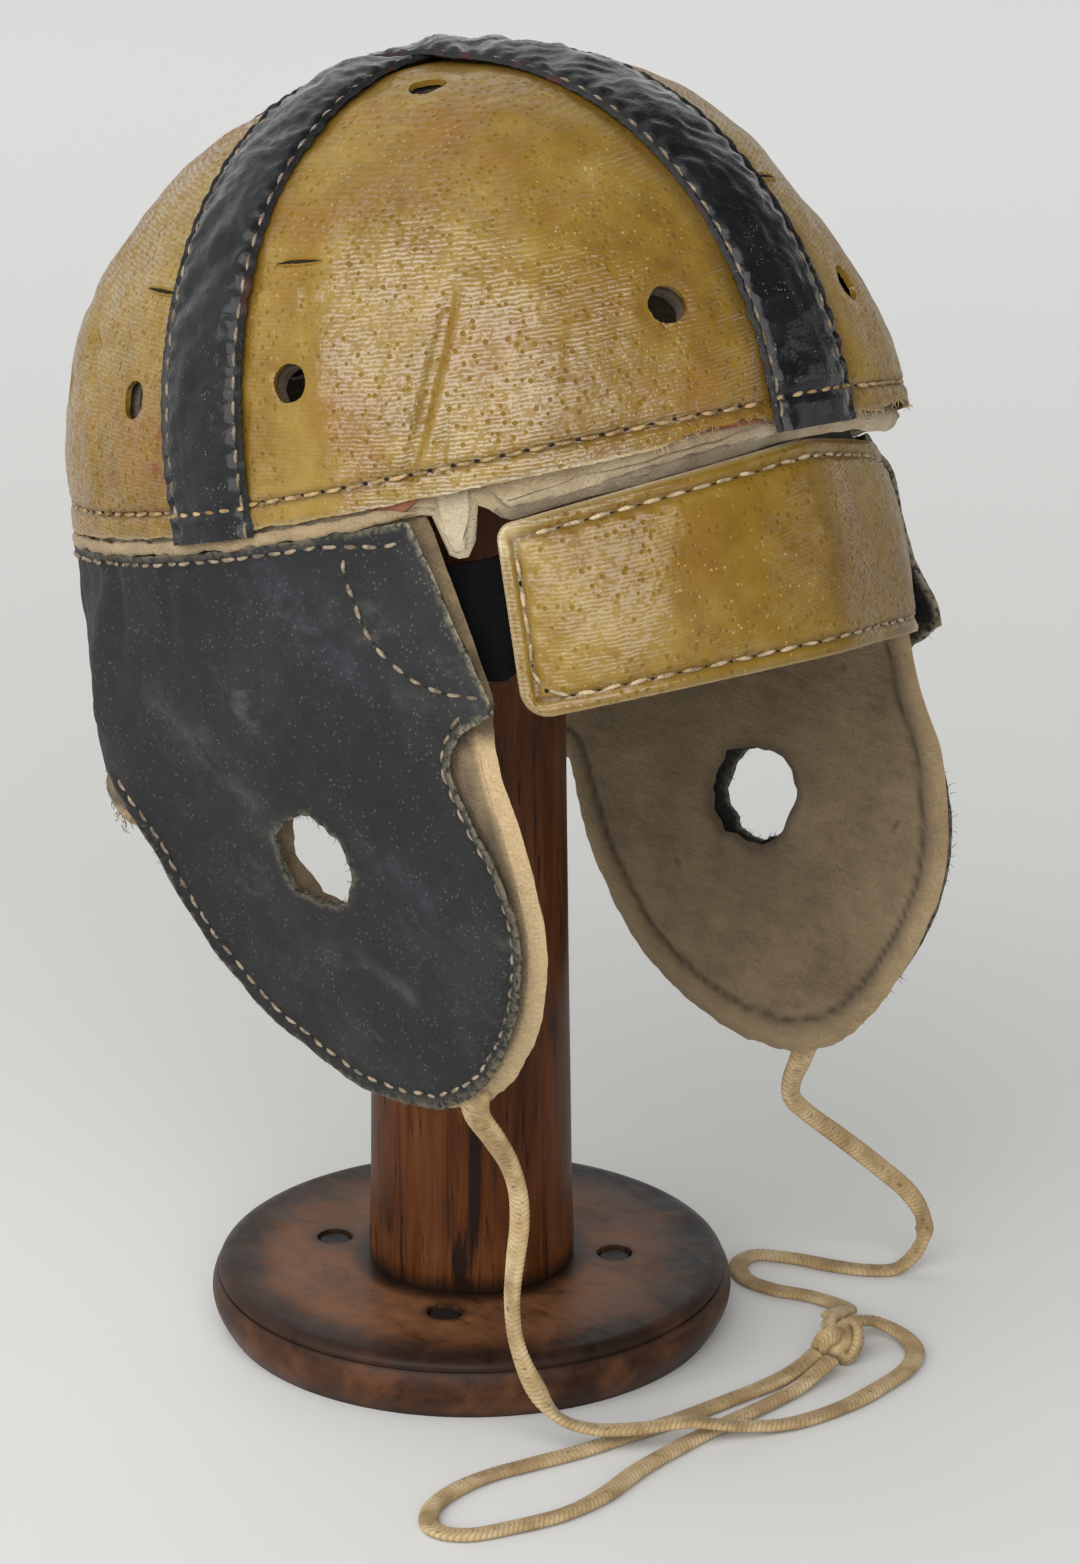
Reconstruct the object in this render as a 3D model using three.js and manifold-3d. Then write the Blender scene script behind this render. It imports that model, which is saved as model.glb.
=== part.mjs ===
// An old leather football helmet on its turned wooden display stand.
// Millimetres, +Z up. The brow faces -Y and the wearer's right side is -X.
// The origin is the centre of the stand's underside.

import * as THREE from "three";
import { mergeVertices } from "three/addons/utils/BufferGeometryUtils.js";
import Module from "manifold-3d";

const wasm = await Module();
wasm.setup();

// Driving dimensions
const gap = 0.3; // between pieces that touch
const softGap = 0.6; // between soft curved layers
const crown = { halfLength: 106, halfWidth: 88.5, height: 98, fullness: 2.19, plan: 2.15, rimArch: 3.2 };
const pose = { forward: 5.8, rimHeight: 222, pitch: 16.1, roll: 4.7, yaw: 1.2 }; // on the stand
const panelLeather = { outside: 0, inside: -1.5, hang: 0 };
const seamGap = 0.6;
const stiffener = { outside: -1.9, inside: -2.8, hang: 1.2, height: 16 };
const crownFelt = { outside: -3.5, inside: -6.5, hang: 3 };
const vent = { radius: 4.5, length: 24, sides: 10 };
const strap = { width: 26, leather: 1.4, lift: 0.6, puff: 1.6, hang: 1.5, crossing: 1.8, ramp: 10 };
const skirt = { arc: 1.69, taper: 24, taperDrop: 148, taperPower: 1.4, flare: 0.07, sway: 0.082 };
const skirtBack = { taperShare: 0.3, slackens: -50, slack: -110 }; // u where the taper lets go
const skirtFlat = { drop: 90, ends: -55, gone: -100 }; // the lobes are flat, the neck is round
const nape = { flare: 3.8, fullDrop: 40, forward: -35, backward: -75, release: 65, gone: 95 };
const flap = { top: 4, leather: 1.6, felt: 4, space: 1.2, backDrop: 57, feltHang: 3 };
const slimming = { u: 60, drop: 40, release: 60, gone: 110, kept: 0.5 };
const flapSides = [
  { name: "right", side: -1, stretch: 1, slim: 0, earForward: -1.5, earDrop: 78.5 },
  { name: "left", side: 1, stretch: 1.075, slim: 9, earForward: -1.5, earDrop: 83 },
];
const earHole = { halfLength: 12.5, halfHeight: 11 };
const brow = { arc: 1.74, halfLength: 77.5, top: 4.4, endTop: 9.7, bottom: 53, lean: 0.06 };
const browFace = { edge: -3.5, dome: 2.5, roundness: 0.7, leather: 1.5, corner: 7, end: 14, inset: 0.6 };
const browBacking = { outside: -6.9, thickness: 1, tab: 8, tabHalf: 30, tabSlope: 14, tabLean: 0.2 };
const elastic = { thickness: 1.2, clear: 1.4, top: 16, bottom: 42, padAngle: 37, flapAngle: 60 };
const elasticSpan = { leavesFlap: 0.45, meetsPad: 0.73 }; // shares of its length
const base = { radius: 65.1, foot: 62.5, thickness: 15.8, sides: 36 };
const baseLip = { height: 2.4, setBack: 0.6, quirk: 0.6, round: 0.7, shoulder: 5, hollow: 1.5 };
const plug = { ring: 36, radius: 4.5, depth: 2.2, height: 1.5, taper: 0.5, sides: 12 };
const plugAngles = [-46, -145, -240, -330]; // not quite square, as drilled by eye
const column = { footRadius: 25.6, topRadius: 22.4, crownRadius: 70, edge: 2, headroom: 1.5, sides: 32 };
const cord = { diameter: 3.8, sides: 8 };

// Faces along and up each curved sheet
const facets = {
  panel: [12, 7],
  stiffener: [48, 1],
  crownFelt: [9, 6],
  strap: [4, 28],
  brow: [16, 4],
  elastic: [8, 2],
};

// Shallow dents and swells of the crown: place and spread in degrees, depth in millimetres.
const dents = [
  { around: 57, up: 22, spreadAround: 9, spreadUp: 11, depth: -2.4 },
  { around: 40, up: 26, spreadAround: 12, spreadUp: 11, depth: 1.2 },
  { around: 50, up: 52, spreadAround: 16, spreadUp: 10, depth: -1.6 },
  { around: 118, up: 40, spreadAround: 14, spreadUp: 16, depth: -1.4 },
  { around: -46, up: 28, spreadAround: 25, spreadUp: 15, depth: -5.2 },
  { around: -128, up: 30, spreadAround: 18, spreadUp: 14, depth: -1.6 },
];

// Vent holes, three to a panel: degrees round from the panel's front edge and up from the rim.
const vents = [
  { around: 18, up: 18.5 },
  { around: 72.5, up: 18 },
  { around: 45, up: 66 },
];

// Leather outline of an ear flap: millimetres forward of the ear line and below the rim.
const flapFront = [
  [62, 4],
  [73, 47],
  [72.5, 51],
  [60, 53],
];
const flapLobe = [
  [55, 60],
  [57, 72],
  [61, 84],
  [60.5, 97],
  [56, 109],
  [48, 120],
  [38, 129],
  [27, 136],
  [14, 140],
  [1, 139.5],
  [-20, 132],
  [-40, 117],
  [-53, 98],
  [-61, 74],
  [-70, 62],
  [-80, 57],
];
// Felt outline: it bridges the leather's notch and stands a little proud round the lobe.
const feltFront = [
  [66, 3.9],
  [76, 48],
  [70, 58],
];
const feltLobe = [
  [65, 68],
  [63.5, 84],
  [63, 98],
  [58.5, 111],
  [50, 122.5],
  [39.5, 132],
  [28, 139],
  [14, 143],
  [0, 142],
  [-21, 134],
  [-41, 119],
  [-54, 99],
  [-62, 76],
  [-71, 65],
  [-82, 61],
];

// The tie cord's route round the stand: each strand's points, by hand, and its number of steps.
const cordStrands = [
  {
    name: "tie_cord_right",
    steps: 26,
    route: [
      [-62.3, -65.8, 92.6],
      [-59, -68, 86],
      [-55.5, -69.5, 79],
      [-53, -70, 71],
      [-52, -69.5, 62],
      [-52, -68, 52],
      [-51.5, -66.5, 41],
      [-50, -66.5, 30],
      [-47, -69, 19],
      [-43, -73, 10.5],
      [-36.5, -78, 6.6],
      [-28, -85, 6.1],
      [-17, -92, 6.4],
      [-5, -98, 4],
      [8, -103, 2.1],
      [24, -105.5, 2],
      [38, -104.5, 2],
      [49.5, -102.5, 2],
      [58.5, -97.5, 2],
      [62, -90, 3],
      [59, -83.4, 5],
      [52.5, -81.9, 6.4],
    ],
  },
  {
    name: "tie_cord_left",
    steps: 24,
    route: [
      [61.4, -55.1, 66.8],
      [61, -52.5, 60],
      [62.5, -51.5, 54.5],
      [67.5, -52.5, 49],
      [77, -56.5, 40],
      [86, -60.5, 31],
      [93.5, -63.5, 23],
      [98, -65, 15],
      [97.5, -65, 7.5],
      [92, -62.5, 2.6],
      [86, -57, 2],
      [81.5, -48.5, 2],
      [78, -39, 2],
      [72.5, -30.5, 2],
      [65, -31.5, 2],
      [60, -39, 2],
      [60.5, -48, 2],
      [64, -57, 2],
      [64.8, -65.5, 2.3],
      [61.5, -72, 4],
      [55.5, -75.8, 6],
      [48.2, -77.3, 7.4],
    ],
  },
  {
    name: "tie_cord_loop",
    steps: 28,
    route: [
      [36, -85.4, 5.2],
      [29, -85, 3.2],
      [20, -84.5, 2.1],
      [8, -83.5, 2],
      [-8, -82, 2],
      [-24, -79.5, 2],
      [-39, -77, 2],
      [-52, -73.5, 2],
      [-64, -70.5, 2],
      [-76, -70.5, 2],
      [-86, -74, 2],
      [-91.5, -81, 2],
      [-88, -88.5, 2],
      [-77, -93.5, 2],
      [-65, -97, 2],
      [-52, -97, 2],
      [-35, -93.5, 2],
      [-18, -92, 2],
      [-2, -91.5, 2],
      [12, -91.5, 2],
      [24, -91, 2.6],
      [36.2, -90.1, 5],
    ],
  },
];
const knot = { x: 44, y: -85, z: 6.4, halfLength: 8, halfWidth: 6.2, halfHeight: 6.2, turn: 20 };

// Working helpers

const radians = THREE.MathUtils.degToRad;
const mix = THREE.MathUtils.lerp;
const ease = (value) => THREE.MathUtils.smoothstep(value, 0, 1);

function solidOf(geometry) {
  const bare = new THREE.BufferGeometry();
  bare.setAttribute("position", geometry.getAttribute("position"));
  bare.setIndex(geometry.index);
  const merged = mergeVertices(bare, 1e-4);
  const solid = new wasm.Manifold(
    new wasm.Mesh({
      numProp: 3,
      vertProperties: new Float32Array(merged.attributes.position.array),
      triVerts: new Uint32Array(merged.index.array),
    }),
  );
  return solid;
}

function geometryOf(solid) {
  const mesh = solid.getMesh();
  const geometry = new THREE.BufferGeometry();
  geometry.setAttribute("position", new THREE.BufferAttribute(mesh.vertProperties, 3));
  geometry.setIndex(new THREE.BufferAttribute(mesh.triVerts, 1));
  geometry.computeVertexNormals();
  return geometry;
}

// Collects triangles, leaves out those that have collapsed to a line, and closes them into a geometry.
class Faces {
  positions = [];

  triangle(a, b, c) {
    const area = b.clone().sub(a).cross(c.clone().sub(a)).length();
    if (area > 1e-6) this.positions.push(...a.toArray(), ...b.toArray(), ...c.toArray());
  }

  quad(a, b, c, d) {
    this.triangle(a, b, c);
    this.triangle(a, c, d);
  }

  geometry() {
    const geometry = new THREE.BufferGeometry();
    geometry.setAttribute("position", new THREE.Float32BufferAttribute(this.positions, 3));
    return mergeVertices(geometry, 1e-4);
  }
}

// A closed wall between an outer and an inner surface: point(u, v, skin), skin 1 outside and 0 inside.
// u runs to the right as seen from outside and v runs up. A ring joins u = 1 to u = 0.
function wall(columns, rows, point, ring = false) {
  const faces = new Faces();
  const grid = [0, 1].map((skin) =>
    Array.from({ length: columns + 1 }, (_, i) =>
      Array.from({ length: rows + 1 }, (_, j) =>
        point(ring && i === columns ? 0 : i / columns, j / rows, skin),
      ),
    ),
  );
  const [inner, outer] = grid;
  for (let i = 0; i < columns; i++) {
    for (let j = 0; j < rows; j++) {
      faces.quad(outer[i][j], outer[i + 1][j], outer[i + 1][j + 1], outer[i][j + 1]);
      faces.quad(inner[i][j + 1], inner[i + 1][j + 1], inner[i + 1][j], inner[i][j]);
    }
    faces.quad(inner[i][0], inner[i + 1][0], outer[i + 1][0], outer[i][0]);
    faces.quad(outer[i][rows], outer[i + 1][rows], inner[i + 1][rows], inner[i][rows]);
  }
  for (let j = 0; j < rows && !ring; j++) {
    faces.quad(inner[0][j], outer[0][j], outer[0][j + 1], inner[0][j + 1]);
    faces.quad(outer[columns][j], inner[columns][j], inner[columns][j + 1], outer[columns][j + 1]);
  }
  return faces.geometry();
}

// A flat sheet cut to an outline, then bent: place(u, drop, skin) gives each point its place.
// The sheet is domed while it is cut, so that the cut keeps a point wherever it crosses the grid.
const sheetGrid = { left: -160, right: 88, top: -2, bottom: 152, doming: 0.002 };
const sheetCell = { along: 14, down: 22 };

function bentSheet(outline, place) {
  const { left, right, top, bottom, doming } = sheetGrid;
  const rise = (x, y) => doming * (x ** 2 + y ** 2);
  const flat = new THREE.BoxGeometry(
    right - left,
    bottom - top,
    1,
    Math.round((right - left) / sheetCell.along),
    Math.round((bottom - top) / sheetCell.down),
    1,
  ).translate((left + right) / 2, (top + bottom) / 2, 0.5);
  const grid = flat.getAttribute("position");
  for (let i = 0; i < grid.count; i++) {
    grid.setZ(i, grid.getZ(i) + rise(grid.getX(i), grid.getY(i)));
  }
  const cutter = new THREE.ExtrudeGeometry(outline, {
    depth: rise(left, bottom) + 2,
    bevelEnabled: false,
    curveSegments: 3,
  }).translate(0, 0, -1);
  const bent = geometryOf(solidOf(flat).intersect(solidOf(cutter)));
  const position = bent.getAttribute("position");
  for (let i = 0; i < position.count; i++) {
    const u = position.getX(i);
    const drop = position.getY(i);
    const moved = place(u, drop, Math.round(position.getZ(i) - rise(u, drop)));
    position.setXYZ(i, moved.x, moved.y, moved.z);
  }
  return bent;
}

function facingOut(geometry) {
  const index = geometry.index.array;
  if (solidOf(geometry).volume() < 0) {
    for (let i = 0; i < index.length; i += 3) {
      [index[i + 1], index[i + 2]] = [index[i + 2], index[i + 1]];
    }
  }
  geometry.computeVertexNormals();
  return geometry;
}

// The crown's leather surface

const rimArch = (around) => crown.rimArch * Math.cos(2 * around);

// How far a level direction reaches, as a share of the rim, which is a little fuller than an ellipse.
const planShare = (x, y) =>
  (Math.abs(x / crown.halfWidth) ** crown.plan + Math.abs(y / crown.halfLength) ** crown.plan) **
  (1 / crown.plan);

const rimRadius = (around) => 1 / planShare(Math.sin(around), Math.cos(around));

function heading(around, up) {
  return new THREE.Vector3(
    -Math.sin(around) * Math.cos(up),
    -Math.cos(around) * Math.cos(up),
    Math.sin(up),
  );
}

function dentDepth(direction) {
  const around = THREE.MathUtils.radToDeg(Math.atan2(-direction.x, -direction.y));
  const up = THREE.MathUtils.radToDeg(Math.asin(direction.z));
  let depth = 0;
  for (const dent of dents) {
    const turn = THREE.MathUtils.euclideanModulo(around - dent.around + 180, 360) - 180;
    const aside = (turn * Math.cos(radians(up))) / dent.spreadAround;
    const away = aside ** 2 + ((up - dent.up) / dent.spreadUp) ** 2;
    depth += dent.depth * Math.exp(-away);
  }
  return depth;
}

function crownPoint(direction) {
  const level = planShare(direction.x, direction.y);
  const rise = Math.abs(direction.z) / crown.height;
  const reach = (level ** crown.fullness + rise ** crown.fullness) ** (-1 / crown.fullness);
  return direction.clone().multiplyScalar(reach + dentDepth(direction));
}

// The point at a distance outside the leather, along the surface's own normal.
function crownOffset(direction, offset) {
  const here = crownPoint(direction);
  const sideways = new THREE.Vector3(direction.y, -direction.x, 0);
  if (sideways.lengthSq() < 1e-6) sideways.set(1, 0, 0);
  sideways.normalize();
  const upwards = sideways.clone().cross(direction).normalize();
  const step = 0.01;
  const across = crownPoint(direction.clone().addScaledVector(sideways, step).normalize());
  const above = crownPoint(direction.clone().addScaledVector(upwards, step).normalize());
  const normal = across.sub(here).cross(above.sub(here)).normalize();
  if (normal.dot(direction) < 0) normal.negate();
  return here.addScaledVector(normal, offset);
}

const rimElevation = (around, hang) => Math.atan2(rimArch(around) - hang, rimRadius(around));

function cutVents(solid, front) {
  let cut = solid;
  for (const { around, up } of vents) {
    const direction = heading(radians(front + around), radians(up));
    const middle = crownOffset(direction, panelLeather.inside);
    const turn = new THREE.Quaternion().setFromUnitVectors(new THREE.Vector3(0, 1, 0), direction);
    const bore = new THREE.CylinderGeometry(vent.radius, vent.radius, vent.length, vent.sides)
      .applyQuaternion(turn)
      .translate(middle.x, middle.y, middle.z);
    cut = cut.subtract(solidOf(bore));
  }
  return cut;
}

const quarters = [
  { name: "front_right", front: 0, x: -1, y: -1 },
  { name: "back_right", front: 90, x: -1, y: 1 },
  { name: "back_left", front: 180, x: 1, y: 1 },
  { name: "front_left", front: 270, x: 1, y: -1 },
];

// The four quarters of one layer. Each stands half a seam gap away from the middle lines.
function crownQuarters(prefix, { outside, inside, hang }, faces) {
  return quarters.map(({ name, front, x, y }) => {
    const point = (u, v, skin) => {
      const around = radians(front + 90 * (1 - u));
      const up = mix(rimElevation(around, hang), Math.PI / 2, v);
      return crownOffset(heading(around, up), skin ? outside : inside);
    };
    const quarter = wall(...faces, point).translate((x * seamGap) / 2, (y * seamGap) / 2, 0);
    return { name: `${prefix}_${name}`, geometry: geometryOf(cutVents(solidOf(quarter), front)) };
  });
}

function stiffenerGeometry() {
  const { outside, inside, hang, height } = stiffener;
  const top = Math.atan2(height, crown.halfLength);
  const point = (u, v, skin) => {
    const around = -2 * Math.PI * u;
    const up = mix(rimElevation(around, hang), top, v);
    return crownOffset(heading(around, up), skin ? outside : inside);
  };
  return wall(...facets.stiffener, point, true);
}

// A strap over the crown. turn 0 runs front to back, turn 90 from side to side under it.
function strapGeometry(turn, over) {
  const half = strap.width / 2;
  const axis = new THREE.Vector3(0, 0, 1);
  const along = (swing) =>
    new THREE.Vector3(0, -Math.cos(swing), Math.sin(swing)).applyAxisAngle(axis, turn);
  const across = new THREE.Vector3(1, 0, 0).applyAxisAngle(axis, turn);
  const startAt = (around) => rimElevation(around, strap.hang);
  const point = (u, v, skin) => {
    const swing = mix(startAt(turn), Math.PI - startAt(turn), v);
    const side = mix(-half, half, u);
    const centre = along(swing);
    const reach = crownPoint(centre).length();
    const nearTop = ease((half + strap.ramp - reach * Math.abs(Math.cos(swing))) / strap.ramp);
    const puff = strap.puff * (1 - (side / half) ** 2) * (over ? 1 : 1 - nearTop);
    const lift = strap.lift + puff + (over ? strap.crossing * nearTop : 0);
    const direction = centre.addScaledVector(across, side / reach).normalize();
    return crownOffset(direction, lift + (skin ? strap.leather : 0));
  };
  return wall(...facets.strap, point);
}

// The side walls below the rim: u is forward of the ear line, drop is below the rim.

function napeFlare(u, drop) {
  const behind = ease((nape.forward - u) / (nape.forward - nape.backward));
  const above = 1 - ease((drop - nape.release) / (nape.gone - nape.release));
  return nape.flare * ease(drop / nape.fullDrop) * behind * above;
}

function skirtSurface(side, u, drop) {
  const around = radians(90 - u / skirt.arc);
  const down = Math.max(drop, 0);
  const backward = ease((skirtBack.slackens - u) / (skirtBack.slackens - skirtBack.slack));
  const share = mix(1, skirtBack.taperShare, backward);
  const taper = skirt.taper * (down / skirt.taperDrop) ** skirt.taperPower * share;
  const inward = taper - napeFlare(u, down);
  const round = new THREE.Vector2(Math.sin(around), -Math.cos(around)).multiplyScalar(
    rimRadius(around) - inward,
  );
  const flat = new THREE.Vector2(crown.halfWidth - inward + skirt.flare * u, -u);
  const roundness = ease((skirtFlat.ends - u) / (skirtFlat.ends - skirtFlat.gone));
  round.lerp(flat, ease(down / skirtFlat.drop) * (1 - roundness));
  return new THREE.Vector3(side * round.x + skirt.sway * down, round.y, rimArch(around) - drop);
}

const stretched = (drop, stretch) => flap.top + (drop - flap.top) * stretch;

function skirtOffset(side, u, drop, offset) {
  const step = 0.5;
  const forward = skirtSurface(side, u + step, drop).sub(skirtSurface(side, u - step, drop));
  const below = skirtSurface(side, u, drop + step).sub(skirtSurface(side, u, drop - step));
  const normal = forward.cross(below).normalize().multiplyScalar(side);
  return skirtSurface(side, u, drop).addScaledVector(normal, offset);
}

function sideOutline(front, lobe, backDrop) {
  const back = -90 * skirt.arc + gap / 2;
  const outline = new THREE.Shape();
  outline.moveTo(...front[0]);
  for (const point of front.slice(1)) outline.lineTo(...point);
  outline.splineThru(lobe.map(([u, drop]) => new THREE.Vector2(u, drop)));
  outline.lineTo(back, backDrop);
  outline.lineTo(back, front[0][1]);
  outline.closePath();
  return outline;
}

function addEarHole(outline, { earForward, earDrop }, grow) {
  const hole = new THREE.Path();
  hole.absellipse(
    earForward,
    earDrop,
    earHole.halfLength + grow,
    earHole.halfHeight + grow,
    0,
    2 * Math.PI,
  );
  outline.holes.push(hole);
  return outline;
}

// One flap is longer and its front narrower than the other's, as it was cut or has shrunk.
function flapSheet({ side, stretch, slim }, outline, outside, inside) {
  const place = (u, drop, skin) => {
    const release = ease((drop - slimming.release) / (slimming.gone - slimming.release));
    const narrower = slim * ease(u / slimming.u) * ease(drop / slimming.drop);
    const forward = u - narrower * mix(1, slimming.kept, release);
    return skirtOffset(side, forward, stretched(drop, stretch), mix(inside, outside, skin));
  };
  return facingOut(bentSheet(outline, place));
}

// The padded brow band: u runs round from the middle of the brow, positive to the wearer's right.

const browPoint = (u, drop, offset) => {
  const around = radians(u / brow.arc);
  const reach = rimRadius(around) + offset + brow.lean * drop;
  return new THREE.Vector3(
    -Math.sin(around) * reach,
    -Math.cos(around) * reach,
    rimArch(around) - drop,
  );
};

function browDome(u, drop) {
  const ends = ease((brow.halfLength - Math.abs(u)) / browFace.end);
  const top = browTop(u);
  const height = THREE.MathUtils.clamp((drop - top) / (brow.bottom - top), 0, 1);
  return browFace.dome * ends * Math.sin(Math.PI * height) ** browFace.roundness;
}

// How far a corner is rounded away, at a distance in from the band's end.
function cornerCut(inward, corner) {
  const short = THREE.MathUtils.clamp(1 - inward / corner, 0, 1);
  return corner * (1 - Math.sqrt(1 - short ** 2));
}

function browLayer(inset, topEdge, outside, inside) {
  const end = brow.halfLength - inset;
  const point = (across, height, skin) => {
    const u = end * Math.sin((Math.PI / 2) * (1 - 2 * across));
    const inward = end - Math.abs(u);
    const top = topEdge(u) + inset + cornerCut(inward, browFace.corner / 2);
    const bottom = brow.bottom - inset - cornerCut(inward, browFace.corner);
    const drop = mix(bottom, top, height);
    return browPoint(u, drop, skin ? outside(u, drop) : inside(u, drop));
  };
  return wall(...facets.brow, point);
}

const browTop = (u) => mix(brow.top, brow.endTop, Math.abs(u) / brow.halfLength);

function tabTop(u) {
  const slope = ease((Math.abs(u) - browBacking.tabHalf) / browBacking.tabSlope);
  return mix(-browBacking.tab, browTop(u), slope);
}

function browPieces() {
  const face = (u, drop) => browFace.edge + browDome(u, drop);
  const faceBack = (u, drop) => face(u, drop) - browFace.leather;
  const core = (u, drop) => faceBack(u, drop) - softGap;
  const coreBack = () => browBacking.outside + gap;
  const tabLean = (drop) => browBacking.tabLean * Math.max(0, brow.top - drop);
  const backing = (u, drop) => browBacking.outside - tabLean(drop);
  const backingBack = (u, drop) => backing(u, drop) - browBacking.thickness;
  return [
    { name: "brow_pad_face", geometry: browLayer(0, browTop, face, faceBack) },
    { name: "brow_pad_felt", geometry: browLayer(browFace.inset, browTop, core, coreBack) },
    { name: "brow_pad_backing", geometry: browLayer(browFace.inset, tabTop, backing, backingBack) },
  ];
}

// Elastic that joins the back of the brow pad to the inside of an ear flap.
function elasticGeometry({ side, stretch }) {
  const padOffset = browBacking.outside - browBacking.thickness - elastic.clear;
  const flapOffset = -flap.leather - flap.space - flap.felt - elastic.clear;
  const point = (u, v, skin) => {
    const angle = mix(elastic.flapAngle, elastic.padAngle, u);
    const drop = mix(elastic.bottom, elastic.top, v);
    const sink = skin ? 0 : elastic.thickness;
    const onPad = browPoint(-side * angle * brow.arc, drop, padOffset - sink);
    const forward = (90 - angle) * skirt.arc;
    const onFlap = skirtOffset(side, forward, stretched(drop, stretch), flapOffset - sink);
    const { leavesFlap, meetsPad } = elasticSpan;
    return onFlap.lerp(onPad, ease((u - leavesFlap) / (meetsPad - leavesFlap)));
  };
  return facingOut(wall(...facets.elastic, point));
}

// The stand

function standBase() {
  const { radius, foot, thickness, sides } = base;
  const groove = thickness - baseLip.height;
  const side = radius - baseLip.setBack;
  const profile = new THREE.Path();
  profile.moveTo(0, 0);
  profile.lineTo(foot, 0);
  profile.quadraticCurveTo(radius, 1, radius, thickness / 2);
  profile.quadraticCurveTo(radius, groove - baseLip.hollow, side, groove);
  profile.lineTo(side - baseLip.quirk, groove);
  profile.quadraticCurveTo(side - baseLip.round, thickness, radius - baseLip.shoulder, thickness);
  profile.lineTo(0, thickness);
  let disc = solidOf(facingOut(bareLathe(profile.getPoints(3), sides)));
  for (const { x, y } of plugPlaces()) {
    const pocket = new THREE.CylinderGeometry(plug.radius, plug.radius, 2 * plug.depth, plug.sides)
      .rotateX(Math.PI / 2)
      .translate(x, y, thickness);
    disc = disc.subtract(solidOf(pocket));
  }
  return geometryOf(disc);
}

// A lathe about Z whose poles hold no collapsed faces.
function bareLathe(profile, sides) {
  const faces = new Faces();
  const at = (point, k) => {
    const turn = (2 * Math.PI * (k % sides)) / sides;
    return new THREE.Vector3(point.x * Math.cos(turn), point.x * Math.sin(turn), point.y);
  };
  for (let i = 0; i + 1 < profile.length; i++) {
    for (let k = 0; k < sides; k++) {
      faces.quad(
        at(profile[i], k),
        at(profile[i], k + 1),
        at(profile[i + 1], k + 1),
        at(profile[i + 1], k),
      );
    }
  }
  return faces.geometry();
}

function plugPlaces() {
  return plugAngles.map((angle) => {
    const turn = radians(angle);
    return new THREE.Vector2(Math.cos(turn), Math.sin(turn)).multiplyScalar(plug.ring);
  });
}

function plugGeometry({ x, y }) {
  const radius = plug.radius - gap;
  const floor = base.thickness - plug.depth;
  return new THREE.CylinderGeometry(radius - plug.taper, radius, plug.height, plug.sides)
    .rotateX(Math.PI / 2)
    .translate(x, y, floor + plug.height / 2);
}

const capDrop = (radius) => column.crownRadius - Math.sqrt(column.crownRadius ** 2 - radius ** 2);

// The column rises until its rounded end carries the crown's felt.
function columnHeight(helmet) {
  helmet.updateMatrixWorld(true);
  let height = Infinity;
  for (let i = 0; i < 36; i++) {
    for (let up = 60; up <= 90; up += 2) {
      const around = (2 * Math.PI * i) / 36;
      const felt = crownOffset(heading(around, radians(up)), crownFelt.inside);
      felt.applyMatrix4(helmet.matrixWorld);
      const radius = Math.hypot(felt.x, felt.y);
      if (radius < column.topRadius + 1) height = Math.min(height, felt.z + capDrop(radius));
    }
  }
  return height - column.headroom;
}

function columnGeometry(height) {
  const { footRadius, topRadius, edge, sides } = column;
  const bottom = base.thickness;
  const profile = [
    new THREE.Vector2(0, bottom),
    new THREE.Vector2(footRadius, bottom),
    new THREE.Vector2(topRadius, height - capDrop(topRadius) - edge),
  ];
  for (let i = 0; i <= 5; i++) {
    const radius = (topRadius - edge) * (1 - i / 5);
    profile.push(new THREE.Vector2(radius, height - capDrop(radius)));
  }
  return facingOut(bareLathe(profile, sides));
}

// The tie cord

function cordGeometry({ route, steps }) {
  const extrudePath = new THREE.CatmullRomCurve3(route.map((point) => new THREE.Vector3(...point)));
  const section = new THREE.Shape();
  section.absarc(0, 0, cord.diameter / 2, 0, 2 * Math.PI);
  return new THREE.ExtrudeGeometry(section, { steps, extrudePath, curveSegments: cord.sides / 2 });
}

function knotGeometry() {
  const ball = new THREE.SphereGeometry(1, 12, 8);
  return ball
    .scale(knot.halfLength, knot.halfWidth, knot.halfHeight)
    .rotateZ(radians(knot.turn))
    .translate(knot.x, knot.y, knot.z);
}

// Materials

const finish = (color, roughness) =>
  new THREE.MeshStandardMaterial({ color, roughness, metalness: 0, flatShading: true });
const mustardLeather = finish(0xa87a1c, 0.42);
const blackLeather = finish(0x23242a, 0.5);
const flapLeather = finish(0x35363a, 0.7);
const creamFelt = finish(0xb9a27a, 0.95);
const tanFelt = finish(0x96835f, 0.95);
const redFibre = finish(0x8c4a36, 0.8);
const greyCloth = finish(0x6e6657, 0.9);
const blackElastic = finish(0x0f1011, 0.85);
const darkWood = finish(0x4a2614, 0.45);
const plugWood = finish(0x1f1510, 0.6);
const cottonCord = finish(0xbfa677, 0.9);

// Assembly

const helmetOnStand = new THREE.Group();
const helmet = new THREE.Group();
helmet.position.set(0, -pose.forward, pose.rimHeight);
helmet.rotation.set(-radians(pose.pitch), radians(pose.roll), radians(pose.yaw), "ZYX");
helmetOnStand.add(helmet);

function addPiece(group, name, geometry, material) {
  const mesh = new THREE.Mesh(geometry, material);
  mesh.name = name;
  group.add(mesh);
}

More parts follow.
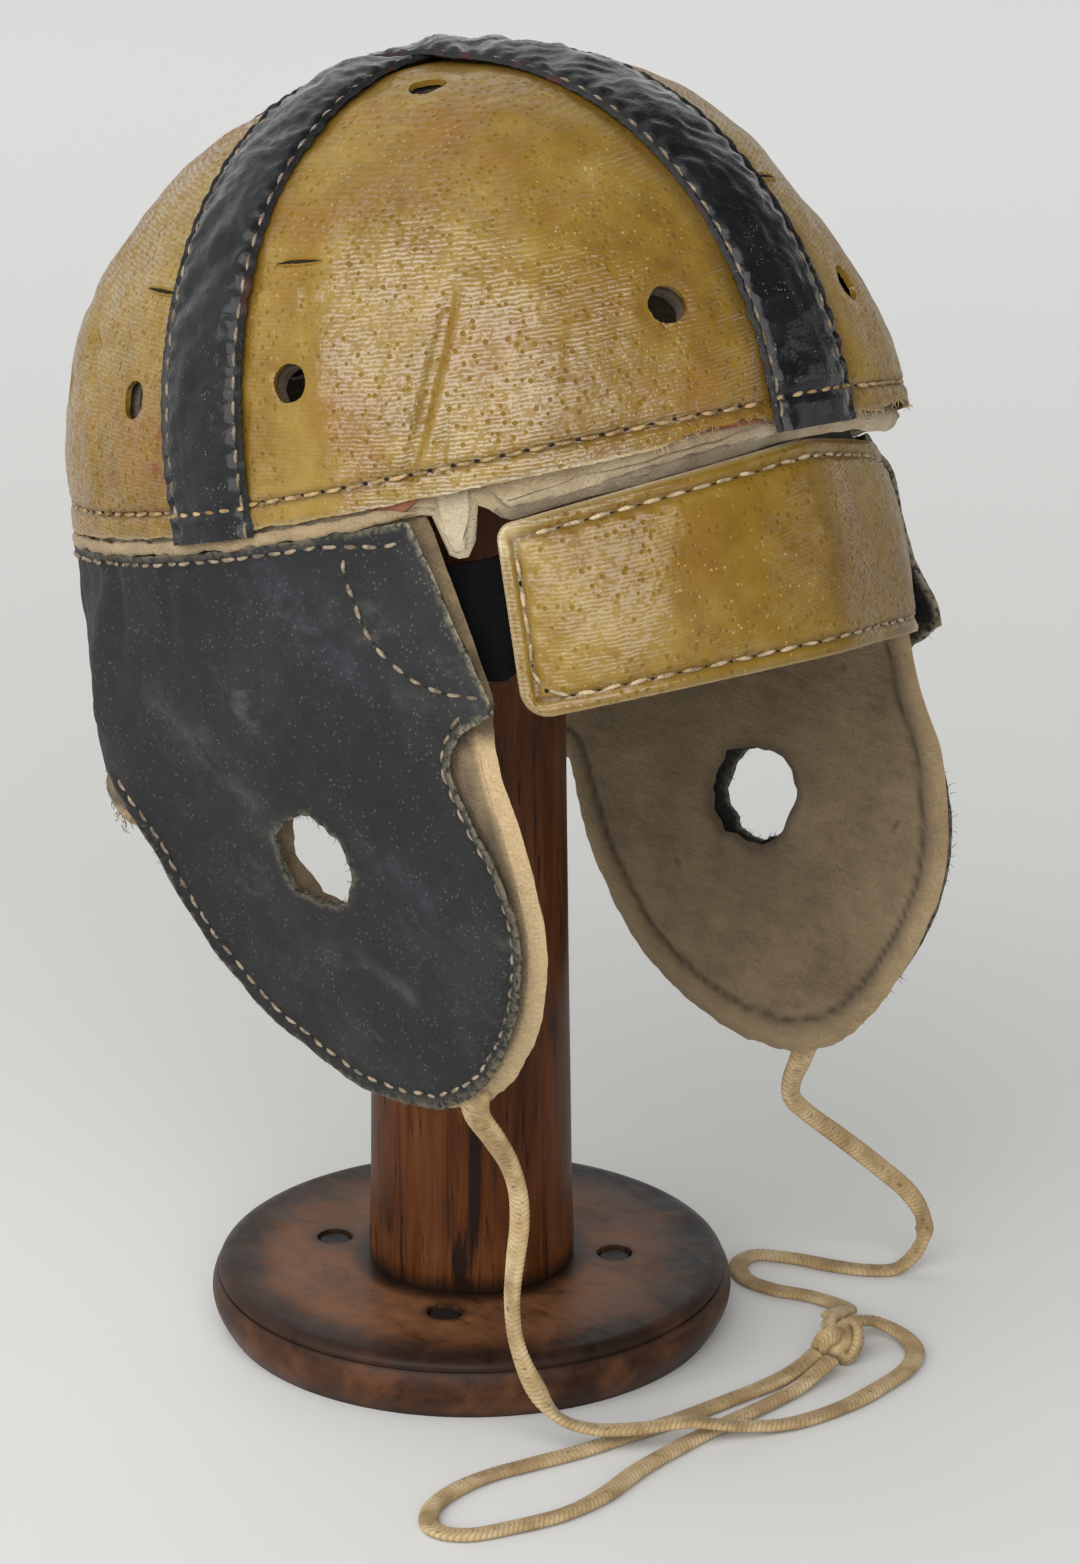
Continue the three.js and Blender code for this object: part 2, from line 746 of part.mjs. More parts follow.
for (const { name, geometry } of crownQuarters("crown_panel", panelLeather, facets.panel)) {
  addPiece(helmet, name, geometry, mustardLeather);
}
for (const { name, geometry } of crownQuarters("crown_felt", crownFelt, facets.crownFelt)) {
  addPiece(helmet, name, geometry, creamFelt);
}
addPiece(helmet, "crown_stiffener", stiffenerGeometry(), redFibre);
addPiece(helmet, "strap_front_back", strapGeometry(0, true), blackLeather);
addPiece(helmet, "strap_side_to_side", strapGeometry(Math.PI / 2, false), blackLeather);

const browMaterials = [mustardLeather, creamFelt, greyCloth];
browPieces().forEach(({ name, geometry }, i) => addPiece(helmet, name, geometry, browMaterials[i]));

const feltBack = flap.backDrop + flap.feltHang;
for (const form of flapSides) {
  const leatherOutline = addEarHole(sideOutline(flapFront, flapLobe, flap.backDrop), form, 0);
  const feltOutline = addEarHole(sideOutline(feltFront, feltLobe, feltBack), form, 0.8);
  const feltOutside = -flap.leather - flap.space;
  const feltInside = feltOutside - flap.felt;
  const leatherSheet = flapSheet(form, leatherOutline, 0, -flap.leather);
  addPiece(helmet, `ear_flap_${form.name}`, leatherSheet, flapLeather);
  const feltSheet = flapSheet(form, feltOutline, feltOutside, feltInside);
  addPiece(helmet, `ear_flap_felt_${form.name}`, feltSheet, tanFelt);
  addPiece(helmet, `elastic_${form.name}`, elasticGeometry(form), blackElastic);
}

addPiece(helmetOnStand, "stand_base", standBase(), darkWood);
addPiece(helmetOnStand, "stand_column", columnGeometry(columnHeight(helmet)), darkWood);
plugPlaces().forEach((place, i) =>
  addPiece(helmetOnStand, `stand_plug_${i + 1}`, plugGeometry(place), plugWood),
);

for (const strand of cordStrands) {
  addPiece(helmetOnStand, strand.name, cordGeometry(strand), cottonCord);
}
addPiece(helmetOnStand, "tie_cord_knot", knotGeometry(), cottonCord);

export default helmetOnStand;
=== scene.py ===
import math
import random

import bpy
from mathutils import Euler, Matrix, Vector, kdtree, noise

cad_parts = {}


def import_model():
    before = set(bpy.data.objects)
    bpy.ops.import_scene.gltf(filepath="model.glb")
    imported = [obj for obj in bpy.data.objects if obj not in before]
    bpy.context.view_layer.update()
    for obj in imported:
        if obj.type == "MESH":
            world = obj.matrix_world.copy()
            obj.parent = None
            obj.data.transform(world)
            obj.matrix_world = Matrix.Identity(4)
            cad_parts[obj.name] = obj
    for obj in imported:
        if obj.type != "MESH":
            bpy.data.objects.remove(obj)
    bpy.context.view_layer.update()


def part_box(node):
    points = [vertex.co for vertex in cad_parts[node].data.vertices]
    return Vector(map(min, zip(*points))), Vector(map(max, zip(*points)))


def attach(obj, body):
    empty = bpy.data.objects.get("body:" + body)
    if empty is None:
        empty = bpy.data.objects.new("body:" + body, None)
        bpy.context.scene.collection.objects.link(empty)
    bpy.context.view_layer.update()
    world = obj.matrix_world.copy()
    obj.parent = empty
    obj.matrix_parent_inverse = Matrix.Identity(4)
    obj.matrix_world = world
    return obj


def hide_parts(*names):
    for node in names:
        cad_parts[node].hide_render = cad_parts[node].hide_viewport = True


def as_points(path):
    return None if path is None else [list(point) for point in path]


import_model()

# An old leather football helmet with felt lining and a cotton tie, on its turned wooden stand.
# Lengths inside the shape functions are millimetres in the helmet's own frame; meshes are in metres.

mm = 0.001
random.seed(7)


# Hand tools

def mix(a, b, share):
    return a + (b - a) * share


def clamp(value, low=0.0, high=1.0):
    return min(high, max(low, value))


def ease(value):
    value = clamp(value)
    return value * value * (3 - 2 * value)


def bump(distance, width):
    return math.exp(-((distance / width) ** 2))


def uneven(x, y, z):
    return noise.noise(Vector((x, y, z)))


# Degrees round from the brow towards the wearer's right, and degrees up
def heading(around, up):
    around, up = math.radians(around), math.radians(up)
    return Vector((-math.sin(around) * math.cos(up), -math.cos(around) * math.cos(up), math.sin(up)))


def clearSelection():
    if bpy.context.mode != "OBJECT":
        bpy.ops.object.mode_set(mode="OBJECT")
    bpy.ops.object.select_all(action="DESELECT")


def pickUp(*pieces):
    clearSelection()
    for piece in pieces:
        piece.select_set(True)
    bpy.context.view_layer.objects.active = pieces[0]


def modify(piece, kind, **settings):
    pickUp(piece)
    modifier = piece.modifiers.new(kind.title(), kind)
    for name, value in settings.items():
        setattr(modifier, name, value)
    bpy.ops.object.modifier_apply(modifier=modifier.name)


def smooth(piece, degrees=50):
    pickUp(piece)
    bpy.ops.object.shade_smooth_by_angle(angle=math.radians(degrees))


def putOn(piece, material, slot, *nodes):
    piece.data.materials.clear()
    piece.data.materials.append(material)
    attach(piece, "root")
    if nodes:
        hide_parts(*nodes)


# A flat grid, bent: place(across, up) gives each corner its place, across to the right as seen
# from outside
def bentGrid(name, columns, rows, place):
    clearSelection()
    bpy.ops.mesh.primitive_grid_add(x_subdivisions=columns, y_subdivisions=rows, size=1)
    piece = bpy.context.object
    piece.name = piece.data.name = name
    for vertex in piece.data.vertices:
        vertex.co = place(vertex.co.x + 0.5, vertex.co.y + 0.5)
    return piece


# Runs one edit-mode operator on a whole mesh
def editAll(piece, operator, **settings):
    pickUp(piece)
    bpy.ops.object.mode_set(mode="EDIT")
    bpy.ops.mesh.select_mode(type="VERT")
    bpy.ops.mesh.select_all(action="SELECT")
    operator(**settings)
    bpy.ops.object.mode_set(mode="OBJECT")


def weld(piece, distance=1e-6):
    editAll(piece, bpy.ops.mesh.remove_doubles, threshold=distance)


def faceOutwards(piece):
    editAll(piece, bpy.ops.mesh.normals_make_consistent, inside=False)


def closeEnds(piece):
    editAll(piece, bpy.ops.mesh.fill_holes, sides=0)
    faceOutwards(piece)


def joined(pieces, name):
    pickUp(*pieces)
    bpy.ops.object.join()
    pieces[0].name = pieces[0].data.name = name
    return pieces[0]


def faceAwayFrom(piece, centre):
    facing = sum(face.area * face.normal.dot(face.center - centre) for face in piece.data.polygons)
    if facing < 0:
        piece.data.flip_normals()


# Keeps values worked out for every point of a mesh, for the materials to read
def keepPaint(piece, **paints):
    for name, values in paints.items():
        layer = piece.data.attributes.new(name, "FLOAT", "POINT")
        layer.data.foreach_set("value", values)


# Camera, at the photograph's place: a long lens from the front right, a little above

camera = {"lens": 126.6, "sensor": 36, "distance": 1.3437, "azimuth": -45, "elevation": 19.8, "aside": 0.0172,
          "height": 0.1416}


def setCamera():
    back = heading(-camera["azimuth"], camera["elevation"])
    turn = math.radians(camera["azimuth"])
    aside = Vector((math.cos(turn), math.sin(turn), 0)) * camera["aside"]
    lens = bpy.data.cameras.new("photo_camera")
    lens.lens = camera["lens"]
    lens.sensor_width = camera["sensor"]
    lens.clip_end = 20
    eye = bpy.data.objects.new("photo_camera", lens)
    eye.rotation_mode = "QUATERNION"
    eye.location = aside + Vector((0, 0, camera["height"])) + back * camera["distance"]
    eye.rotation_quaternion = (-back).to_track_quat("-Z", "Y")
    bpy.context.scene.collection.objects.link(eye)
    bpy.context.scene.camera = eye


setCamera()
print("camera set")


# Node tools for the materials. Sizes are millimetres on the object.

def startMaterial(name):
    material = bpy.data.materials.new(name)
    material.use_nodes = True
    tree = material.node_tree
    tree.nodes.clear()
    output = tree.nodes.new("ShaderNodeOutputMaterial")
    shader = tree.nodes.new("ShaderNodeBsdfPrincipled")
    tree.links.new(shader.outputs["BSDF"], output.inputs["Surface"])
    return material, tree, shader


def plug(tree, socket, value):
    if isinstance(value, bpy.types.NodeSocket):
        tree.links.new(value, socket)
    elif isinstance(value, tuple) and len(value) == 3 and socket.type == "RGBA":
        socket.default_value = (*value, 1)
    else:
        socket.default_value = value


def wire(tree, made, sockets):
    for name, value in sockets.items():
        plug(tree, made.inputs[name], value)


def add(tree, kind, sockets, **settings):
    made = tree.nodes.new("ShaderNode" + kind)
    for name, value in settings.items():
        setattr(made, name, value)
    wire(tree, made, sockets)
    return made


def objectPlace(tree, stretch=(1, 1, 1), turn=(0, 0, 0)):
    at = add(tree, "TexCoord", {})
    sockets = {"Vector": at.outputs["Object"], "Scale": stretch, "Rotation": turn}
    return add(tree, "Mapping", sockets).outputs[0]


def cloud(tree, place, size, detail=3, roughness=0.5, distortion=0.0):
    return add(tree, "TexNoise", {"Vector": place, "Scale": 1000 / size, "Detail": detail,
                                  "Roughness": roughness, "Distortion": distortion}).outputs["Fac"]


def cells(tree, place, size, randomness=1.0):
    return add(tree, "TexVoronoi", {"Vector": place, "Scale": 1000 / size,
                                    "Randomness": randomness}).outputs["Distance"]


def bands(tree, place, size, distortion=0.0, detail=2, direction="X"):
    return add(tree, "TexWave", {"Vector": place, "Scale": 100 * math.pi / size, "Distortion": distortion,
                                 "Detail": detail, "Detail Roughness": 0.5},
               bands_direction=direction).outputs["Fac"]


def ramp(tree, value, stops):
    made = add(tree, "ValToRGB", {"Fac": value})
    elements = made.color_ramp.elements
    for _ in range(len(stops) - 2):
        elements.new(0.5)
    for element, (position, colour) in zip(elements, stops):
        element.position = position
        element.color = (*colour, 1)
    return made.outputs["Color"]


def span(tree, value, low, high, toLow=0.0, toHigh=1.0):
    return add(tree, "MapRange", {"Value": value, "From Min": low, "From Max": high, "To Min": toLow,
                                  "To Max": toHigh}, interpolation_type="SMOOTHSTEP").outputs[0]


# Patches are where a cloud is strong, and dots are the middles of cells
def patches(tree, place, size, low, high, detail=3, roughness=0.5):
    return span(tree, cloud(tree, place, size, detail, roughness), low, high)


def dots(tree, place, size, outer, inner, randomness=1.0):
    return span(tree, cells(tree, place, size, randomness), outer, inner)


def sums(tree, kind, first, second):
    return add(tree, "Math", {0: first, 1: second}, operation=kind).outputs[0]


def plus(tree, first, second):
    return sums(tree, "ADD", first, second)


def times(tree, first, second):
    return sums(tree, "MULTIPLY", first, second)


# The sum of some values, each with its weight
def weighed(tree, *parts):
    total = None
    for value, weight in parts:
        part = times(tree, value, weight)
        total = part if total is None else plus(tree, total, part)
    return total


def blend(tree, share, first, second):
    return add(tree, "Mix", {0: share, 6: first, 7: second}, data_type="RGBA").outputs[2]


# Lays one colour after another over the first, each with its own share and strength
def tinted(tree, colour, *layers):
    for share, strength, other in layers:
        colour = blend(tree, share if strength == 1 else times(tree, share, strength), colour, other)
    return colour


def relief(tree, height, depth, under=None):
    sockets = {"Height": height, "Distance": depth * mm, "Strength": 1.0}
    if under is not None:
        sockets["Normal"] = under
    return add(tree, "Bump", sockets).outputs[0]


def painted(tree, name):
    return add(tree, "Attribute", {}, attribute_name=name).outputs["Fac"]


# Materials

def mustardLeather():
    material, tree, shader = startMaterial("mustard_leather")
    place = objectPlace(tree)
    middle = cloud(tree, place, 8, 4, 0.6)
    tone = weighed(tree, (cloud(tree, place, 42, 2), 0.5), (middle, 0.5))
    orange = patches(tree, objectPlace(tree, turn=(0.7, 0.2, 1.1)), 30, 0.52, 0.72)
    # Pale specks: partly pinhead spots in the leather, partly painted sparkle highlights off the pore edges
    specks = times(tree, dots(tree, place, 2.1, 0.2, 0.1), patches(tree, place, 26, 0.44, 0.6, 2))
    poreGroups = sums(tree, "MAXIMUM", patches(tree, place, 15, 0.38, 0.5, 2),
                      span(tree, painted(tree, "grain"), 0.75, 1.0, 0.0, 0.85))
    # The pores are painted a little darker: painted shade in the pits
    pores = times(tree, dots(tree, place, 2.3, 0.29, 0.15, 0.8), poreGroups)
    # Painted shade, broken up by the cloud: the hem groove and the leather beside the straps on the crown, the
    # stitch groove and the edges of the brow band
    shadeAndDirt = times(tree, painted(tree, "grime"), span(tree, middle, 0.2, 0.5))
    colour = ramp(tree, tone, [(0.32, (0.135, 0.066, 0.004)), (0.5, (0.195, 0.112, 0.011)),
                               (0.68, (0.255, 0.165, 0.028))])
    colour = tinted(tree, colour, (orange, 0.6, (0.19, 0.078, 0.005)), (specks, 0.45, (0.5, 0.37, 0.13)),
                    (pores, 0.28, (0.085, 0.05, 0.006)), (shadeAndDirt, 1, (0.055, 0.026, 0.006)),
                    (painted(tree, "redScuff"), 1, (0.15, 0.03, 0.012)),
                    (painted(tree, "pale"), 1, (0.5, 0.4, 0.22)))
    lines = bands(tree, objectPlace(tree, turn=(0.12, 0.1, 0.2)), 0.95, 3.2, 3, "Z")
    lines = times(tree, lines, span(tree, cloud(tree, place, 2.6, 2), 0.36, 0.56, 0.25, 1.0))
    flakes = weighed(tree, (cloud(tree, place, 1.3, 4, 0.75), 0.8), (lines, 0.2))
    varnish = span(tree, flakes, 0.38, 0.54, 0.2, 1.0)
    varnish = times(tree, varnish, span(tree, cloud(tree, place, 18, 3, 0.6), 0.32, 0.5, 0.6, 1.0))
    varnish = times(tree, varnish, painted(tree, "grain"))
    grain = weighed(tree, (lines, 0.34), (flakes, 1.1))
    grain = times(tree, grain, span(tree, painted(tree, "grain"), 0.4, 1.0, 0.12, 1.0))
    rough = relief(tree, weighed(tree, (grain, 1), (pores, -1.1), (specks, 0.35)), 0.14)
    wavy = relief(tree, cloud(tree, place, 4.5, 2), 0.12, rough)
    wire(tree, shader, {"Base Color": colour, "Roughness": span(tree, middle, 0.3, 0.7, 0.45, 0.6),
                        "Specular IOR Level": 0.15, "Coat Roughness": 0.12, "Coat IOR": 1.85,
                        "Coat Weight": times(tree, varnish, span(tree, pores, 0.0, 0.6, 1.0, 0.0)),
                        "Normal": wavy, "Coat Normal": wavy})
    return material


def blackLeather():
    material, tree, shader = startMaterial("black_leather")
    place = objectPlace(tree)
    middle = cloud(tree, place, 9, 4, 0.6)
    worn = times(tree, painted(tree, "wear"), patches(tree, place, 2.6, 0.42, 0.6, 4, 0.7))
    # Painted glints: pale dots near the strap ends stand in for sparkle highlights
    glintDots = times(tree, painted(tree, "glint"), dots(tree, place, 1.0, 0.26, 0.12, 0.9))
    glintDots = times(tree, glintDots, patches(tree, place, 5, 0.5, 0.64))
    red = times(tree, painted(tree, "edge"), patches(tree, place, 9, 0.58, 0.7))
    colour = ramp(tree, middle, [(0.35, (0.0045, 0.0047, 0.0053)), (0.6, (0.0075, 0.008, 0.009)),
                                 (0.8, (0.014, 0.0147, 0.016))])
    colour = tinted(tree, colour, (worn, 1, (0.1, 0.1, 0.098)), (glintDots, 0.7, (0.2, 0.2, 0.2)),
                    (red, 1, (0.04, 0.011, 0.009)))
    pebbles = plus(tree, cells(tree, place, 1.1, 0.9), cloud(tree, place, 0.8, 3, 0.6))
    wavy = relief(tree, cloud(tree, place, 3.2, 3), 0.16, relief(tree, pebbles, 0.05))
    gloss = plus(tree, span(tree, middle, 0.3, 0.7, 0.14, 0.3), times(tree, painted(tree, "edge"), 0.4))
    wire(tree, shader, {"Base Color": colour, "Roughness": gloss, "Specular IOR Level": 0.3, "Normal": wavy})
    return material


def charcoalLeather():
    material, tree, shader = startMaterial("charcoal_leather")
    place = objectPlace(tree)
    broad = cloud(tree, place, 38, 3, 0.55)
    middle = cloud(tree, place, 6, 5, 0.65)
    tone = weighed(tree, (broad, 0.6), (middle, 0.4))
    specks = times(tree, dots(tree, place, 1.5, 0.27, 0.13), patches(tree, place, 6, 0.4, 0.56))
    streaks = cloud(tree, objectPlace(tree, (1, 0.3, 0.45), (0.6, 0, 0.3)), 5, 5, 0.75)
    scratches = times(tree, span(tree, streaks, 0.55, 0.75), span(tree, broad, 0.4, 0.6))
    rubbed = times(tree, painted(tree, "rub"), span(tree, streaks, 0.35, 0.65))
    blue = times(tree, painted(tree, "blueRub"), span(tree, middle, 0.3, 0.75, 0.0, 0.6))
    edge = times(tree, painted(tree, "wear"), patches(tree, place, 1.8, 0.38, 0.56, 4, 0.7))
    colour = ramp(tree, tone, [(0.32, (0.0065, 0.0067, 0.007)), (0.52, (0.0125, 0.0127, 0.013)),
                               (0.72, (0.026, 0.026, 0.0255))])
    # The near-black layer is painted shade along the stitch groove round the lobe
    colour = tinted(tree, colour, (specks, 0.5, (0.1, 0.1, 0.09)), (scratches, 0.55, (0.085, 0.085, 0.078)),
                    (rubbed, 0.7, (0.11, 0.11, 0.098)), (blue, 1, (0.055, 0.055, 0.085)),
                    (edge, 1, (0.2, 0.17, 0.11)), (painted(tree, "grime"), 1, (0.006, 0.006, 0.0055)))
    rough = relief(tree, plus(tree, cloud(tree, place, 0.8, 3, 0.6), cells(tree, place, 1.3, 0.9)), 0.1)
    wire(tree, shader, {"Base Color": colour, "Roughness": span(tree, tone, 0.3, 0.7, 0.55, 0.75),
                        "Specular IOR Level": 0.28, "Normal": relief(tree, middle, 0.4, rough)})
    return material


def felt(name, dark, plain, light, stainAndShade, fresh):
    material, tree, shader = startMaterial(name)
    place = objectPlace(tree)
    fibres = cloud(tree, place, 0.9, 4, 0.75, 1.2)
    brushed = cloud(tree, objectPlace(tree, (1, 1, 2.6), (0.3, 0.2, 0)), 9, 5, 0.75)
    tone = weighed(tree, (cloud(tree, place, 24, 4, 0.6), 0.4), (fibres, 0.25), (brushed, 0.35))
    # The stain colour serves both the cloud stains and painted shade: inside the crown bowl, in its seams, in the
    # flap felt's crease and at the near flap's front; it also darkens round the ear holes
    colour = tinted(tree, ramp(tree, tone, [(0.36, dark), (0.5, plain), (0.62, light)]),
                    (painted(tree, "pale"), 1, blend(tree, fibres, tuple(0.75 * c for c in fresh), fresh)),
                    (patches(tree, place, 6, 0.68, 0.76), 0.5, stainAndShade), (painted(tree, "grime"), 0.92, stainAndShade))
    wire(tree, shader, {"Base Color": colour, "Roughness": 0.95, "Sheen Weight": 0.15, "Sheen Roughness": 0.6,
                        "Specular IOR Level": 0.15,
                        "Normal": relief(tree, brushed, 1.2, relief(tree, fibres, 0.6))})
    return material


def plainCloth(name, colour, darker, size, shine=0.25):
    material, tree, shader = startMaterial(name)
    place = objectPlace(tree)
    tone = ramp(tree, cloud(tree, place, 7, 4, 0.6), [(0.35, darker), (0.65, colour)])
    weave = plus(tree, cells(tree, place, size, 0.4), cloud(tree, place, size * 1.5, 2))
    wire(tree, shader, {"Base Color": tone, "Roughness": 0.85, "Specular IOR Level": shine,
                        "Normal": relief(tree, weave, 0.2)})
    return material


def oldWood(name, dark, plain, light, wornColour, streakSize, stretch, gloss, streaked):
    material, tree, shader = startMaterial(name)
    figure = cloud(tree, objectPlace(tree, stretch), streakSize, 6, 0.68, 0.9)
    broad = cloud(tree, objectPlace(tree, tuple(mix(1, s, 0.6) for s in stretch)), 26, 3)
    pores = cloud(tree, objectPlace(tree, tuple(0.7 * s for s in stretch)), streakSize * 0.22, 4, 0.7)
    tone = weighed(tree, (figure, 0.6), (broad, 0.4))
    wornWood = blend(tree, span(tree, figure, 0.3, 0.7), wornColour, tuple(1.5 * c for c in wornColour))
    colour = tinted(tree, ramp(tree, tone, [(0.36, dark), (0.48, plain), (0.62, light)]),
                    (painted(tree, "worn"), 1, wornWood),
                    (span(tree, figure, 0.44, 0.36), 0.9 * streaked, (0.012, 0.005, 0.003)),
                    (span(tree, pores, 0.58, 0.66), streaked, (0.008, 0.004, 0.003)),
                    (painted(tree, "grime"), 1, (0.012, 0.0075, 0.0058)))
    wire(tree, shader, {"Base Color": colour, "Roughness": span(tree, figure, 0.3, 0.7, gloss, gloss + 0.16),
                        "Specular IOR Level": 0.13,
                        "Normal": relief(tree, sums(tree, "SUBTRACT", figure, pores), 0.12)})
    return material


def cottonCord():
    material, tree, shader = startMaterial("cotton_cord")
    place = objectPlace(tree)
    colour = ramp(tree, cloud(tree, place, 9, 4, 0.6),
                  [(0.34, (0.29, 0.2, 0.09)), (0.5, (0.46, 0.335, 0.17)), (0.66, (0.6, 0.47, 0.28))])
    # Painted shade in the braid's valleys and centre groove; the flecks are dark threads
    colour = tinted(tree, colour, (painted(tree, "valley"), 0.75, (0.19, 0.12, 0.05)),
                    (patches(tree, place, 24, 0.5, 0.66), 0.45, (0.21, 0.12, 0.055)),
                    (painted(tree, "fleck"), 0.85, (0.02, 0.016, 0.013)))
    wire(tree, shader, {"Base Color": colour, "Roughness": 0.85, "Sheen Weight": 0.1,
                        "Specular IOR Level": 0.2, "Normal": relief(tree, cloud(tree, place, 0.5, 3, 0.7), 0.15)})
    return material


def thread(name, dark, light):
    material, tree, shader = startMaterial(name)
    colour = ramp(tree, cloud(tree, objectPlace(tree), 3, 3), [(0.38, dark), (0.62, light)])
    twist = bands(tree, objectPlace(tree, turn=(0.8, 0.5, 0.3)), 0.7)
    wire(tree, shader, {"Base Color": colour, "Roughness": 0.75, "Specular IOR Level": 0.25,
                        "Normal": relief(tree, twist, 0.12)})
    return material


def plain(name, colour, roughness):
    material, tree, shader = startMaterial(name)
    darker = tuple(c * 0.7 for c in colour)
    tone = ramp(tree, cloud(tree, objectPlace(tree), 3, 3), [(0.3, darker), (0.7, colour)])
    wire(tree, shader, {"Base Color": tone, "Roughness": roughness, "Specular IOR Level": 0.25})
    return material


finishes = {
    "mustard": mustardLeather(),
    "black": blackLeather(),
    "charcoal": charcoalLeather(),
    "creamFelt": felt("cream_felt", (0.3, 0.2, 0.1), (0.42, 0.31, 0.17), (0.52, 0.41, 0.25),
                      (0.055, 0.035, 0.018), (0.62, 0.52, 0.36)),
    "tanFelt": felt("tan_felt", (0.13, 0.085, 0.04), (0.25, 0.178, 0.093), (0.33, 0.245, 0.135),
                    (0.05, 0.031, 0.015), (0.6, 0.43, 0.23)),
    "fibre": plainCloth("red_fibre", (0.26, 0.1, 0.055), (0.15, 0.055, 0.03), 1.5),
    "greyCloth": plainCloth("grey_cloth", (0.13, 0.115, 0.09), (0.06, 0.052, 0.042), 0.6),
    "elastic": plainCloth("black_elastic", (0.004, 0.004, 0.0045), (0.0025, 0.0025, 0.003), 0.5, 0.06),
    "column": oldWood("column_wood", (0.018, 0.005, 0.0015), (0.068, 0.019, 0.0035), (0.125, 0.04, 0.009),
                      (0.12, 0.045, 0.015), 5, (1, 1, 0.08), 0.34, 1.0),
    "base": oldWood("base_wood", (0.022, 0.009, 0.005), (0.045, 0.018, 0.009), (0.075, 0.03, 0.013),
                    (0.12, 0.05, 0.021), 8, (1, 0.6, 1), 0.36, 0.3),
    "plug": plain("plug_wood", (0.012, 0.009, 0.007), 0.55),
    "cord": cottonCord(),
    "tanThread": thread("tan_thread", (0.1, 0.076, 0.055), (0.3, 0.235, 0.165)),
    "brownThread": thread("brown_thread", (0.19, 0.12, 0.055), (0.4, 0.28, 0.14)),
    "creamThread": thread("cream_thread", (0.2, 0.15, 0.085), (0.47, 0.37, 0.23)),
    "needleHoleShade": plain("needle_hole_shade", (0.012, 0.008, 0.005), 0.9),
    "slit": plain("slit_shade", (0.012, 0.006, 0.003), 0.8),
    "torn": plain("torn_leather", (0.45, 0.33, 0.17), 0.8),
    "fray": plain("frayed_edge", (0.075, 0.072, 0.055), 0.9),
    "darkFray": plain("dark_fray", (0.02, 0.018, 0.014), 0.9),
    "grassFray": plain("frayed_felt", (0.2, 0.18, 0.12), 0.9),
}
print("materials made")


# The tie cord: a flat braid that follows the CAD route, points in metres

braid = {"width": 4.8, "thickness": 2.2, "pitch": 1.3, "relief": 0.1, "step": 0.4, "around": 22}
cordRight = {
    "name": "tie_cord_right_braid", "node": "tie_cord_right", "tab": 7.8, "tabLength": 30, "turn": 20,
    "tucked": (-0.0636, -0.0668, 0.0998),
    "route": [
        (-0.0623, -0.0658, 0.0926), (-0.059, -0.068, 0.086), (-0.0555, -0.0695, 0.079), (-0.053, -0.07, 0.071),
        (-0.052, -0.0695, 0.062), (-0.052, -0.068, 0.052), (-0.0515, -0.0665, 0.041), (-0.05, -0.0665, 0.03),
        (-0.047, -0.069, 0.019), (-0.043, -0.073, 0.0105), (-0.0365, -0.078, 0.0066), (-0.028, -0.085, 0.0061),
        (-0.017, -0.092, 0.0064), (-0.005, -0.098, 0.004), (0.008, -0.103, 0.0021), (0.024, -0.1055, 0.002),
        (0.038, -0.1045, 0.002), (0.0495, -0.1025, 0.002), (0.0585, -0.0975, 0.002), (0.062, -0.09, 0.003),
        (0.059, -0.0834, 0.005), (0.0525, -0.0819, 0.0064),
    ],
}
cordLeft = {
    "name": "tie_cord_left_braid", "node": "tie_cord_left", "tab": 7.4, "tabLength": 20, "turn": -30,
    "tucked": (0.0632, -0.0567, 0.0748),
    "route": [
        (0.0614, -0.0551, 0.0668), (0.061, -0.0525, 0.06), (0.0625, -0.0515, 0.0545), (0.0675, -0.0525, 0.049),
        (0.077, -0.0565, 0.04), (0.086, -0.0605, 0.031), (0.0935, -0.0635, 0.023), (0.098, -0.065, 0.015),
        (0.0975, -0.065, 0.0075), (0.092, -0.0625, 0.0026), (0.086, -0.057, 0.002), (0.0815, -0.0485, 0.002),
        (0.078, -0.039, 0.002), (0.0725, -0.0305, 0.002), (0.065, -0.0315, 0.002), (0.06, -0.039, 0.002),
        (0.0605, -0.048, 0.002), (0.064, -0.057, 0.002), (0.0648, -0.0655, 0.0023), (0.0615, -0.072, 0.004),
        (0.0555, -0.0758, 0.006), (0.0482, -0.0773, 0.0074),
    ],
}
cordLoop = {
    "name": "tie_cord_loop_braid", "node": "tie_cord_loop", "tab": 0, "tabLength": 1, "turn": 10,
    "route": [
        (0.036, -0.0854, 0.0052), (0.029, -0.085, 0.0032), (0.02, -0.0845, 0.0021), (0.008, -0.0835, 0.002),
        (-0.008, -0.082, 0.002), (-0.024, -0.0795, 0.002), (-0.039, -0.077, 0.002), (-0.052, -0.0735, 0.002),
        (-0.064, -0.0705, 0.002), (-0.076, -0.0705, 0.002), (-0.086, -0.074, 0.002), (-0.0915, -0.081, 0.002),
        (-0.088, -0.0885, 0.002), (-0.077, -0.0935, 0.002), (-0.065, -0.097, 0.002), (-0.052, -0.097, 0.002),
        (-0.035, -0.0935, 0.002), (-0.018, -0.092, 0.002), (-0.002, -0.0915, 0.002), (0.012, -0.0915, 0.002),
        (0.024, -0.091, 0.0026), (0.0362, -0.0901, 0.005),
    ],
}
knotShape = {"centre": (0.0434, -0.0854, 0.0056), "half": (6.8, 5.2, 4.7), "turn": 20, "width": 4.8,
             "thickness": 2.4}


